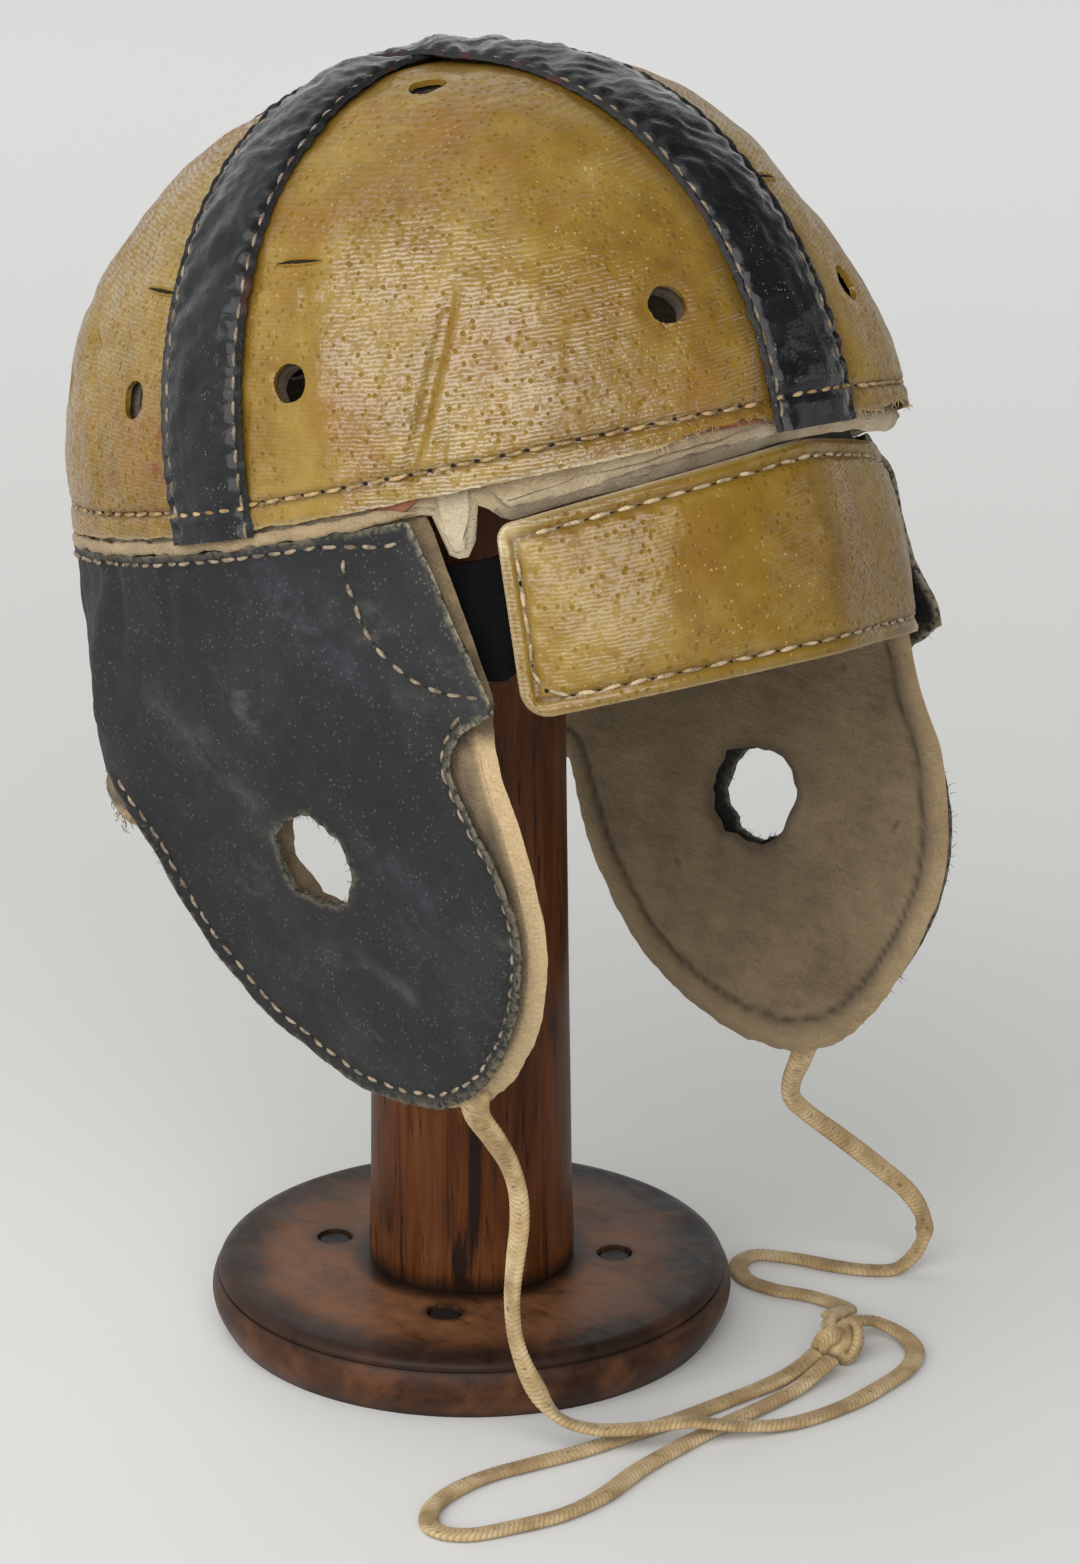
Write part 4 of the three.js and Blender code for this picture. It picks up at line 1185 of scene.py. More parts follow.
def browDome(u, drop):
    top = browTop(u)
    height = clamp((drop - top) / (brow["bottom"] - top))
    ends = ease((brow["half"] - abs(u)) / brow["end"])
    return brow["dome"] * ends * math.sin(math.pi * height) ** brow["roundness"] if 0 < height < 1 else 0.0


def cornerCut(inward, corner):
    short = clamp(1 - inward / corner)
    return corner * (1 - math.sqrt(1 - short ** 2))


def tabTop(u):
    return mix(-browBack["tab"], browTop(u), ease((abs(u) - browBack["tabHalf"]) / browBack["tabSlope"]))


def browSpot(across, height, inset, topEdge):
    end = brow["half"] - inset
    u = end * math.sin(math.pi / 2 * (1 - 2 * across))
    inward = end - abs(u)
    top = topEdge(u) + inset + cornerCut(inward, brow["corner"] / 2)
    bottom = brow["bottom"] - inset - cornerCut(inward, brow["corner"])
    drop = mix(bottom, top, height)
    return u, drop, min(inward, bottom - drop, drop - top)


def browRelief(u, drop, inward):
    spot = Vector((u, drop, 0))
    rise = 0.22 * noise.noise(spot / 14) + 0.12 * noise.noise(spot / 5) + 0.05 * noise.noise(spot / 2)
    rise += -1.0 * bump(inward - brow["row"], 1.1) + 0.25 * bump(inward - 1.3, 1.2)
    rise += 0.2 * math.cos((u + drop) * 0.98) * bump(inward - brow["row"] - 1.6, 1.6)
    flap = bump(u + 73, 7) * bump(drop - 49, 5)
    return rise + 0.9 * flap * ease(1 - inward / 4)


def makeBrow():
    shadeAndDirt, pale, grains = [], [], []

    def facePlace(across, height):
        u, drop, inward = browSpot(across, height, 0, browTop)
        second = ease((u + 0.2 * drop + 12) / 2) * ease((10 - u - 0.2 * drop) / 3)
        grains.append(max(0.3, 0.58 * ease((u - 35 + 0.3 * drop) / 1.6), 0.5 * second))
        # Painted shade in the stitch groove, and darker along the edges
        shadeAndDirt.append(clamp(0.7 * bump(inward - brow["row"], 0.8) + 0.35 * ease(1 - inward / 2.6)))
        peel = bump(u + 66, 12) * bump(drop - 52, 2.2) + bump(u - 77, 4) * bump(drop - 11, 5)
        peeled = 0.9 * peel * (0.6 + noise.noise(Vector((u, drop, 6)) / 3))
        pale.append(clamp(peeled + 0.25 * ease(1 - inward / 0.9)))
        return onBrow(u, drop, brow["edge"] + browDome(u, drop) + browRelief(u, drop, inward))

    face = bentGrid("brow_pad_leather", brow["columns"], brow["rows"], facePlace)
    keepPaint(face, grime=shadeAndDirt, pale=pale, grain=grains)
    finishSheet(face, skirtMiddle, brow["leather"], "mustard", "mustard_leather", "brow_pad_face")

    shares = []

    def corePlace(across, height):
        u, drop, inward = browSpot(across, height, brow["inset"] - 0.9, browTop)
        outer = brow["edge"] - brow["leather"] - 0.5 + browDome(u, drop)
        outer += 0.25 * noise.noise(Vector((u, drop, 4)) / 3)
        shares.append((outer + 6.6) / brow["filling"] * edgeShare(inward, 1.2, 0.7))
        return onBrow(u, drop, outer)

    core = bentGrid("brow_pad_filling", 110, 36, corePlace)
    finishSheet(core, skirtMiddle, brow["filling"], "creamFelt", "cream_felt", "brow_pad_felt", shares=shares)

    def backPlace(across, height):
        u, drop, _ = browSpot(across, height, brow["inset"], tabTop)
        lean = browBack["tabLean"] * max(0, brow["top"] - drop) + 0.1
        return onBrow(u, drop, browBack["outside"] - lean + 0.15 * noise.noise(Vector((u, drop, 1)) / 6))

    back = bentGrid("brow_pad_cloth", browBack["columns"], browBack["rows"], backPlace)
    finishSheet(back, skirtMiddle, browBack["thickness"], "greyCloth", "grey_cloth", "brow_pad_backing")


makeBrow()
print("brow band made")


# Ear flaps and nape. u is forward of the ear line, drop is below the rim.

skirt = {"arc": 1.69, "taper": 24, "taperDrop": 148, "taperPower": 1.4, "flare": 0.07, "sway": 0.082}
flaps = {
    "right": {"side": -1, "stretch": 1, "slim": 0, "ear": (-1.5, 78.5)},
    "left": {"side": 1, "stretch": 1.075, "slim": 9, "ear": (-1.5, 83)},
}
flapLeather = {"thickness": 1.6, "cell": 1.35, "hole": (12.5, 11), "backDrop": 57, "row": 3, "wellInside": 20}
flapFelt = {"inside": -6.8, "thickness": 4, "cell": 1.55, "hole": (13.3, 11.8), "backDrop": 60, "round": 2.4}
flapFront = [(57, 4), (64, 29), (70.5, 46), (71.5, 50), (61, 53)]
flapLobe = [(55, 60), (57, 72), (61, 84), (60.5, 97), (56, 109), (48, 120), (38, 129), (27, 136), (14, 140),
            (1, 139.5), (-20, 132), (-40, 117), (-53, 98), (-61, 74), (-70, 62), (-80, 57)]
feltFront = [(59, 3.9), (64.5, 29), (68, 46), (65.5, 56)]
feltLobe = [(65, 66), (65.8, 78), (64.5, 90), (62.5, 101), (58.5, 111), (50, 122.5), (39.5, 132), (28, 139),
            (14, 143), (0, 142), (-21, 134), (-41, 119), (-54, 99), (-62, 77), (-69, 74), (-77, 71),
            (-84, 66), (-90, 58)]
backLine = -151.95
sheet = {"back": backLine - 1, "front": 79, "top": 2, "bottom": 145, "weld": 0.3}
# start, end, width, depth of the folds in each flap's leather
flapFolds = {
    "right": [((-49, 4), (-60, 38), 3.2, -1.6), ((-56, 6), (-72, 44), 3.5, 1.4),
              ((-21, 5), (-31, 26), 2.2, -0.7), ((-11, 5), (-16, 20), 1.8, -0.5),
              ((-73, 44), (-45, 47), 4, 0.8), ((12, 82), (45, 72), 4, -0.6), ((24, 14), (34, 40), 5, 0.5)],
    "left": [((-55, 5), (-63, 36), 3.5, -1.2), ((-20, 5), (-26, 28), 2.6, -0.6), ((14, 80), (40, 76), 4, -0.6)],
}
# start, end, width, strength of the pale rubs on each flap, then of the bluish ones
rubs = {"right": ([((-42, 40), (-8, 74), 5.5, 0.55), ((-16, 100), (4, 104), 3, 0.5),
                   ((46, 42), (66, 47), 3, 0.35), ((-2, 100), (16, 112), 2.2, 0.45)],
                  [((14, 10), (34, 36), 4.5, 1.0), ((18, 76), (32, 90), 4, 0.8)]),
        "left": ([((-30, 50), (0, 80), 6, 0.5), ((20, 100), (36, 108), 3, 0.4)],
                 [((20, 20), (36, 40), 5, 0.6)])}


def napeFlare(u, drop):
    return 3.8 * ease(drop / 40) * ease((-35 - u) / 40) * (1 - ease((drop - 65) / 30))


def skirtPoint(side, u, drop):
    around = 90 - u / skirt["arc"]
    turn = math.radians(around)
    down = max(drop, 0)
    share = mix(1, 0.3, ease((-50 - u) / 60))
    inward = skirt["taper"] * (down / skirt["taperDrop"]) ** skirt["taperPower"] * share - napeFlare(u, down)
    reach = rimRadius(around) - inward
    flat = ease(down / 90) * (1 - ease((-55 - u) / 45))
    x = mix(math.sin(turn) * reach, crown["halfWidth"] - inward + skirt["flare"] * u, flat)
    y = mix(-math.cos(turn) * reach, -u, flat)
    return Vector((side * x + skirt["sway"] * down, y, rimArch(around) - drop))


def skirtOffset(side, u, drop, offset):
    forward = skirtPoint(side, u + 0.5, drop) - skirtPoint(side, u - 0.5, drop)
    below = skirtPoint(side, u, drop + 0.5) - skirtPoint(side, u, drop - 0.5)
    return skirtPoint(side, u, drop) + forward.cross(below).normalized() * (side * offset)


def onFlap(form, u, drop, offset):
    narrower = form["slim"] * ease(u / 60) * ease(drop / 40)
    forward = u - narrower * mix(1, 0.5, ease((drop - 60) / 50))
    return world(skirtOffset(form["side"], forward, 4 + (drop - 4) * form["stretch"], offset))


# A closed outline. It tells how far inside it a point is, and the outline's own nearest point.
def borderOf(front, lobe, backDrop, raggedness, seed):
    curve, _ = curveThrough([(u, drop, 0) for u, drop in [front[-1]] + lobe], 0.4)
    corners = [Vector((u, drop, 0)) for u, drop in front[:-1]] + curve
    corners += [Vector((backLine, backDrop, 0)), Vector((backLine, front[0][1], 0))]
    line = []
    for start, end in zip(corners, corners[1:] + corners[:1]):
        pieces = max(1, math.ceil((end - start).length / 0.4))
        line += [start.lerp(end, k / pieces) for k in range(pieces)]
    for point in line:
        if point.x > backLine + 2:
            point.y += raggedness * (uneven(point.x / 6, point.y / 6, seed) + 0.6 * noise.noise(
                Vector((point.x / 2.2, point.y / 2.2, seed))))
    tree = kdtree.KDTree(len(line))
    for index, point in enumerate(line):
        tree.insert(point, index)
    tree.balance()

    def inside(u, drop):
        here = Vector((u, drop, 0))
        nearest, index, distance = tree.find(here)
        along = line[(index + 2) % len(line)] - line[index - 2]
        away = here - nearest
        return (distance if along.x * away.y - along.y * away.x > 0 else -distance), nearest

    return inside, line


def ovalHole(centre, half, seed=0.0):
    def outside(u, drop):
        x, y = (u - centre[0]) / half[0], (drop - centre[1]) / half[1]
        far = math.hypot(x, y) or 1
        spot = Vector((x / far, y / far, 0))
        shift = Vector((0, 0, seed))
        far /= 1 + 0.16 * noise.noise(spot * 1.6 + shift) + 0.09 * noise.noise(spot * 4 + shift)
        scale = 1 / max(far, 0.01)
        edge = Vector((centre[0] + x * half[0] * scale, centre[1] + y * half[1] * scale, 0))
        return (far - 1) * half[1], edge

    return outside


# Cuts a flat grid to the outline and the ear hole, notes values on it, then bends it to its place
def cutSheet(name, settings, border, hole, bend, notes):
    piece = bentGrid(name, round((sheet["front"] - sheet["back"]) / settings["cell"]),
                     round((sheet["bottom"] - sheet["top"]) / settings["cell"]),
                     lambda across, up: (mix(sheet["back"], sheet["front"], across),
                                         mix(sheet["top"], sheet["bottom"], up), 0))
    vertices = piece.data.vertices
    for index in set(cutAway(piece, lambda middle: border(*middle.xy)[0] < 0 or hole(*middle.xy)[0] < 0)):
        rim, nearest = border(*vertices[index].co.xy)
        ring, cut = hole(*vertices[index].co.xy)
        vertices[index].co = cut if abs(ring) < abs(rim) else nearest
    weld(piece, sheet["weld"])
    values = {}
    for vertex in piece.data.vertices:
        u, drop = vertex.co.xy
        rim = max(0, border(u, drop)[0])
        ring = max(0, hole(u, drop)[0])
        for label, value in notes(u, drop, rim, ring).items():
            values.setdefault(label, []).append(value)
        vertex.co = bend(u, drop, rim, ring, values["share"][-1])
    shares = values.pop("share")
    keepPaint(piece, **values)
    return piece, shares


def nearFlapLine(u, drop, start, end):
    first = Vector((start[0] - u, start[1] - drop))
    along = Vector((end[0] - start[0], end[1] - start[1]))
    share = clamp(-first.dot(along) / along.length_squared)
    return (first + along * share).length, share


def flapRelief(name, form, u, drop, rim, ring):
    spot = Vector((u, drop, form["side"] * 40))
    rise = 1.1 * noise.noise(spot / 22) + 0.45 * noise.noise(spot / 7) + 0.16 * noise.noise(spot / 2.6)
    back = ease((-30 - u) / 40)
    rise += back * 0.8 * uneven(u / 6, drop / 40, 2)
    for start, end, width, depth in flapFolds[name]:
        away, share = nearFlapLine(u, drop, start, end)
        rise += depth * bump(away, width) * math.sin(math.pi * clamp(0.1 + 0.8 * share)) ** 0.7
    lower = ease((drop - 50) / 5) * ease((u + 75) / 10)
    puckers = 0.3 * uneven(u / 1.9, drop / 1.9, 8)
    rise += lower * ((1.0 + puckers) * bump(rim - 1.1, 1.1) - 0.75 * bump(rim - flapLeather["row"], 0.8)
                     + puckers * bump(rim - 4.4, 1.4))
    upper = ease((14 - drop) / 4)
    rise += upper * (0.7 * uneven(u / 3.2, drop / 2, 5) * ease(1 - rim / 5) + 0.5 * bump(rim - 1.2, 1.3))
    rise += 0.45 * bump(ring - 0.8, 1.2)
    if form["side"] > 0:
        rise += 4.5 * ease((u - 46) / 14) * ease((56 - drop) / 14) * ease((drop - 3) / 12)
    return rise


def makeFlap(name, form):
    leatherBorder, form["edge"] = borderOf(flapFront, flapLobe, flapLeather["backDrop"], 0.5, form["side"])
    feltBorder, _ = borderOf(feltFront, feltLobe, flapFelt["backDrop"], 0.6, form["side"] + 5)
    paleRubs, blueRubs = rubs[name]

    def rubOf(marks, u, drop):
        strength = 0.0
        for start, end, width, amount in marks:
            away, _ = nearFlapLine(u, drop, start, end)
            strength = max(strength, amount * bump(away, width))
        return strength * clamp(0.7 + 0.9 * noise.noise(Vector((u, drop, 2)) / 5))

    def leatherNotes(u, drop, rim, ring):
        front = ease((u - 50) / 8) * ease((56 - drop) / 6)
        lobe = ease((drop - 50) / 6) * ease((u + 20) / 40)
        wear = (0.85 * front * ease(1 - rim / 1.6) + 0.5 * ease(1 - rim / 1.2)
                + 0.3 * lobe * bump(rim - 1.2, 1.2) + 0.4 * bump(ring, 0.8))
        # The darkened row is painted shade along the lobe's stitch groove
        return {"wear": clamp(wear), "rub": rubOf(paleRubs, u, drop), "blueRub": rubOf(blueRubs, u, drop),
                "grime": clamp(0.6 * bump(rim - flapLeather["row"], 0.8) * ease((drop - 50) / 6)),
                "share": edgeShare(rim, 1.2, 0.5)}

    def leatherBend(u, drop, rim, ring, share):
        return onFlap(form, u, drop, flapRelief(name, form, u, drop, rim, ring))

    leather, shares = cutSheet("ear_flap_" + name + "_leather", flapLeather, leatherBorder,
                               ovalHole(form["ear"], flapLeather["hole"], form["side"]), leatherBend,
                               leatherNotes)
    finishSheet(leather, skirtMiddle, flapLeather["thickness"], "charcoal", "charcoal_leather",
                "ear_flap_" + name, degrees=60, shares=shares)

    def feltNotes(u, drop, rim, ring):
        # Painted shade in the crease inside the rim and at the front top of the near flap; also darker round the
        # ear hole, and mottled stains away from the border
        crease = bump(rim - 7.2, 0.75) * ease((drop - 12) / 10)
        border = ease(1 - (rim - 1.5) / 6)
        mottled = 0.5 + noise.noise(Vector((u, drop, 3)) / 14) + 0.5 * noise.noise(Vector((u, drop, 7)) / 4)
        front = ease((u - 50) / 5) * ease((58 - drop) / 5) * (form["side"] < 0)
        shadeAndDirt = clamp(0.85 * crease + 0.55 * front * (0.7 + noise.noise(Vector((u, drop, 5)) / 5))
                     + 0.6 * ease(1 - ring / 3.5) + 0.22 * (1 - border) * clamp(mottled))
        cream = border * (1.0 if form["side"] < 0 else 0.3) * (1 - 0.9 * front) + 0.12 * clamp(mottled - 0.4)
        return {"grime": shadeAndDirt, "pale": clamp(cream),
                "share": min(edgeShare(rim, flapFelt["round"], 0.3), edgeShare(ring, 1.6, 0.5))}

    def feltBend(u, drop, rim, ring, share):
        spot = Vector((u, drop, form["side"] * 60))
        lumps = 0.55 * noise.noise(spot / 13) + 0.3 * noise.noise(spot / 4.5) + 0.15 * noise.noise(spot / 1.8)
        roll = -0.5 * bump(rim - 3.5, 3) + 0.9 * bump(rim - 7.5, 1.1)
        inward = flapFelt["thickness"] * (1 - share) / 2
        tongue = 4 * bump(u + 79, 7) * ease((drop - 52) / 12)
        return onFlap(form, u, drop, flapFelt["inside"] + inward + lumps * 0.8 + roll + tongue)

    lining, shares = cutSheet("ear_flap_felt_" + name + "_lining", flapFelt, feltBorder,
                              ovalHole(form["ear"], flapFelt["hole"], form["side"] + 3), feltBend, feltNotes)
    finishSheet(lining, skirtMiddle, flapFelt["thickness"], "tanFelt", "tan_felt", "ear_flap_felt_" + name,
                degrees=60, outward=True, shares=shares)
    makeTopRoll(name, form)


# The raw upper edge of the flap, turned over between crown and leather
topRoll = {"front": 59, "back": -105, "drop": 2.5, "offset": -0.3, "radius": 1.25}


def makeTopRoll(name, form):
    pale = []

    def place(across, up):
        u = mix(topRoll["front"], topRoll["back"], across)
        angle = 2 * math.pi * up
        ends = ease(min(across, 1 - across) * 14 + 0.15)
        thick = topRoll["radius"] * ends * (1 + 0.35 * uneven(u / 5, 3, form["side"]))
        wave = 0.5 * uneven(u / 9, 1, form["side"]) + 0.25 * uneven(u / 2.5, 6, 0)
        pale.append(clamp(0.35 + 0.5 * uneven(u / 12, 9, 0)))
        drop = topRoll["drop"] + wave - 1.25 * thick * math.sin(angle)
        return onFlap(form, u, drop, topRoll["offset"] + wave + thick * math.cos(angle))

    piece = bentGrid("ear_flap_" + name + "_top_roll", 260, 12, place)
    keepPaint(piece, pale=pale)
    weld(piece)
    closeEnds(piece)
    smooth(piece, 80)
    putOn(piece, finishes["tanFelt"], "tan_felt")


elastic = {"thickness": 1.2, "clear": 1.4, "top": 16, "bottom": 42, "padAngle": 37, "flapAngle": 60,
           "leaves": 0.45, "meets": 0.73, "columns": 70, "rows": 39}


def makeElastic(name, form):
    padOffset = browBack["outside"] - browBack["thickness"] - elastic["clear"]
    flapOffset = flapFelt["inside"] - elastic["clear"]

    def place(across, up):
        angle = mix(elastic["flapAngle"], elastic["padAngle"], across)
        drop = mix(elastic["bottom"], elastic["top"], up)
        rib = 0.16 * math.cos(2 * math.pi * up * 9.75)
        onPad = onBrow(-form["side"] * angle * brow["arc"], drop, padOffset + rib)
        forward = (90 - angle) * skirt["arc"]
        low = 4 + (drop - 4) * form["stretch"]
        flapSpot = world(skirtOffset(form["side"], forward, low, flapOffset + rib))
        share = ease((across - elastic["leaves"]) / (elastic["meets"] - elastic["leaves"]))
        return flapSpot.lerp(onPad, share)

    piece = bentGrid("elastic_" + name + "_webbing", elastic["columns"], elastic["rows"], place)
    finishSheet(piece, skirtMiddle, elastic["thickness"], "elastic", "black_elastic", "elastic_" + name)


for name, form in flaps.items():
    makeFlap(name, form)
    makeElastic(name, form)
print("ear flaps made")


# The turned stand

stand = {"radius": 65.1, "foot": 62.5, "thickness": 15.8, "sides": 200, "lip": 3.0, "setBack": 1.2,
         "plugRing": 36, "plugRadius": 4.5, "plugDepth": 2.2, "plugAngles": (-46, -145, -240, -330)}
column = {"foot": 25.6, "top": 22.4, "crownRadius": 70, "edge": 2, "sides": 140}


# Turns a profile of (radius, height) points; the first and last may lie on the axis
def turned(name, profile, sides, notes):
    values = {}

    def place(across, up):
        radius, height = profile[round(up * (len(profile) - 1))]
        turn = 2 * math.pi * across
        for label, value in notes(radius, height, math.degrees(turn)).items():
            values.setdefault(label, []).append(value)
        return Vector((math.cos(turn) * radius, math.sin(turn) * radius, height)) * mm

    piece = bentGrid(name, sides, len(profile) - 1, place)
    keepPaint(piece, **values)
    weld(piece)
    faceOutwards(piece)
    return piece


def pathThrough(corners, step):
    line = []
    for (r0, z0), (r1, z1) in zip(corners, corners[1:]):
        pieces = max(1, round(math.hypot(r1 - r0, z1 - z0) / step))
        line += [(mix(r0, r1, k / pieces), mix(z0, z1, k / pieces)) for k in range(pieces)]
    return line + [corners[-1]]


def plugSpots():
    return [Vector((math.cos(math.radians(a)), math.sin(math.radians(a)), 0)) * stand["plugRing"]
            for a in stand["plugAngles"]]


def baseNotes(radius, height, angle):
    grime = 0.0
    worn = 0.0
    spot = Vector((math.cos(math.radians(angle)) * radius, math.sin(math.radians(angle)) * radius, height))
    patch = noise.noise(spot / 14 + Vector((3, 5, 0))) + 0.5 * noise.noise(spot / 4)
    toFront = 0.5 + 0.5 * math.cos(math.radians(angle + 115))
    if height > stand["thickness"] - 0.25:
        ring = ease((radius - 27.5) / 5) * ease((60 - radius) / 14)
        worn = ring * clamp(0.65 + 0.45 * toFront + 0.35 * patch)
        # Darker towards the rim, less so at the front, with dirt patches
        grime = (0.75 - 0.2 * toFront) * ease((radius - 48 - 5 * patch) / 14) + 0.3 * clamp(-patch)
        # Painted shade where the column stands on the base
        grime += 0.7 * ease(1 - (radius - column["foot"]) / 3)
        # Painted shade on the side away from the light
        grime += 0.45 * ease((radius - 38) / 12) * (0.5 + 0.5 * math.cos(math.radians(angle + 20)))
        # Darker round the plugs
        nearest = min((spot - Vector((plug.x, plug.y, height))).length for plug in plugSpots())
        grime = max(grime, 0.85 * ease((7 - nearest) / 3))
        # Paler patches on the rim
        grime *= 1 - 0.75 * ease((patch - 0.3) / 0.25) * ease((radius - 48) / 6)
    elif height > stand["thickness"] - stand["lip"] - 0.3:
        # Painted shade in the groove under the lip, carried over the rounded lip, with paler patches
        grime = 0.7 - 0.4 * ease((patch - 0.1) / 0.3)
    else:
        worn = 0.4 * ease(patch / 0.5)
        # Dirt patches, with painted shade in a band at the floor and on the back side away from the light
        grime = 0.45 * clamp(0.3 - patch) + 0.7 * ease(1 - height / 2) + 0.45 * (1 - toFront)
    return {"grime": clamp(grime), "worn": clamp(worn)}


def makeBase():
    radius, thickness = stand["radius"], stand["thickness"]
    groove = thickness - stand["lip"]
    side = radius - stand["setBack"]
    belly = []
    for k in range(15):
        t = k / 14
        swell = math.sin(math.pi * t) ** 0.8
        reach = mix(stand["foot"] - 0.8, side, t) + (radius - side + 1.2) * swell
        belly.append((reach, groove * (t ** 0.85) + 0.05 * (t == 0)))
    profile = [(0, 0), (30, 0), (stand["foot"] - 1.6, 0), *belly, (side - 0.6, groove + 0.1),
               (side - 0.7, groove + 0.45), (side - 0.2, groove + 0.7)]
    for k in range(1, 11):
        t = math.pi / 2 * k / 10
        inwards = 3.6 * (1 - math.cos(t))
        profile.append((side - 0.2 - inwards, groove + 0.7 + (stand["lip"] - 0.7) * math.sin(t)))
    profile += pathThrough([(side - 4.6, thickness), (6, thickness)], 1.15) + [(0, thickness)]
    piece = turned("stand_base_disc", profile, stand["sides"], baseNotes)
    for vertex in piece.data.vertices:
        if vertex.co.z > (thickness - 0.3) * mm:
            vertex.co.z += 0.00012 * noise.noise(vertex.co * 90)
    up = Vector((0, 0, 1))
    openHoles(piece, [roundHole(spot * mm + Vector((0, 0, thickness * mm)), up, stand["plugRadius"] * mm,
                                0.04, spot.x) for spot in plugSpots()])
    sinkPockets(piece)
    smooth(piece, 40)
    putOn(piece, finishes["base"], "dark_wood", "stand_base")


def sinkPockets(piece):
    pickUp(piece)
    bpy.ops.object.mode_set(mode="EDIT")
    bpy.ops.mesh.select_mode(type="VERT")
    bpy.ops.mesh.select_all(action="DESELECT")
    bpy.ops.mesh.select_non_manifold()
    bpy.ops.mesh.extrude_region_move(TRANSFORM_OT_translate={"value": (0, 0, -stand["plugDepth"] * mm)})
    bpy.ops.mesh.edge_face_add()
    bpy.ops.mesh.select_all(action="DESELECT")
    bpy.ops.object.mode_set(mode="OBJECT")


def makePlugs():
    radius = stand["plugRadius"] - 0.3
    floor = stand["thickness"] - stand["plugDepth"]
    for number, spot in enumerate(plugSpots(), 1):
        profile = [(0, floor), (radius, floor), (radius, floor + 0.9), (radius - 0.5, floor + 1.4),
                   (radius - 1.1, floor + 1.5), (1.8, floor + 1.35), (0, floor + 1.3)]
        piece = turned("stand_plug_" + str(number) + "_wood", profile, 36, lambda *spot: {"grime": 0.3})
        for vertex in piece.data.vertices:
            vertex.co += spot * mm
            vertex.co.z += 0.00016 * noise.noise(vertex.co * 420) if vertex.co.z > (floor + 0.5) * mm else 0
        smooth(piece, 50)
        putOn(piece, finishes["plug"], "plug_wood", "stand_plug_" + str(number))


def makeColumn():
    bottom = stand["thickness"]
    _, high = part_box("stand_column")
    height = high[2] / mm

    def capDrop(radius):
        return column["crownRadius"] - math.sqrt(column["crownRadius"] ** 2 - radius ** 2)

    shoulder = height - capDrop(column["top"]) - column["edge"]
    profile = [(0, bottom), (column["foot"] - 0.4, bottom), (column["foot"], bottom + 0.5)]
    for k in range(1, 61):
        t = k / 60
        waist = 0.9 * bump(t, 0.04) - 0.5 * math.sin(math.pi * t) - 0.9 * (1 - t) ** 30
        profile.append((mix(column["foot"], column["top"], t) + waist, mix(bottom + 0.5, shoulder, t)))
    for k in range(1, 5):
        t = math.pi / 2 * k / 4
        radius = column["top"] - column["edge"] * (1 - math.cos(t))
        rounded = shoulder + column["edge"] * math.sin(t)
        profile.append((radius, rounded + capDrop(column["top"]) - capDrop(radius)))
    for k in range(1, 9):
        radius = (column["top"] - column["edge"]) * (1 - k / 8)
        profile.append((radius, height - capDrop(radius)))

    def notes(radius, z, angle):
        patch = uneven(angle / 9, z / 60, 1)
        # Painted shade at the foot, where the column meets the base, and on the upper part under the helmet; the
        # patches are dirt
        grime = 0.9 * ease(1 - (z - bottom) / 3.2) + 0.35 * ease((z - height + 70) / 60) + 0.3 * clamp(patch)
        return {"grime": clamp(grime), "worn": clamp(0.35 * bump(z - bottom - 9, 5) * (0.5 + patch))}

    piece = turned("stand_column_post", profile, column["sides"], notes)
    smooth(piece, 50)
    putOn(piece, finishes["column"], "dark_wood", "stand_column")


makeBase()
makePlugs()
makeColumn()
print("stand made")


# Sewing: one stitch and one needle hole are modelled, then copied along each row

sewing = {"width": 1.05, "height": 0.95, "ends": 0.42, "hole": 0.62}


def stitchModel():
    clearSelection()
    bpy.ops.mesh.primitive_uv_sphere_add(segments=8, ring_count=6, radius=1)
    piece = bpy.context.object
    for vertex in piece.data.vertices:
        x, y, z = vertex.co.z, vertex.co.x, vertex.co.y
        x = math.copysign(abs(x) ** 0.8, x)
        bow = sewing["ends"] * x * x
        vertex.co = Vector((x / 2, y * sewing["width"] / 2, z * sewing["height"] / 2 - bow)) * mm
    smooth(piece, 80)
    return piece


# A needle hole is a small dark cone sunk into the leather: painted shade in the hole
def holeModel():
    clearSelection()
    bpy.ops.mesh.primitive_cone_add(vertices=9, radius1=sewing["hole"] * mm, radius2=0.35 * mm,
                                    depth=0.12 * mm)
    return bpy.context.object


def stationsOn(spots, place, lift):
    stations = []
    for first, second in spots:
        here = place(first, second, lift)
        across = place(first + 0.3, second, lift) - here
        above = place(first, second + 0.3, lift) - here
        normal = across.cross(above).normalized()
        stations.append((here, normal))
    return stations


def copyTo(model, point, along, normal, size, spin=0.0):
    side = normal.cross(along).normalized()
    turn = Matrix((along, side, along.cross(side))).transposed() @ Matrix.Rotation(spin, 3, "Z")
    copy = model.copy()
    copy.data = model.data.copy()
    copy.data.transform(Matrix.LocRotScale(point, turn.to_quaternion(), Vector(size)))
    bpy.context.scene.collection.objects.link(copy)
    return copy


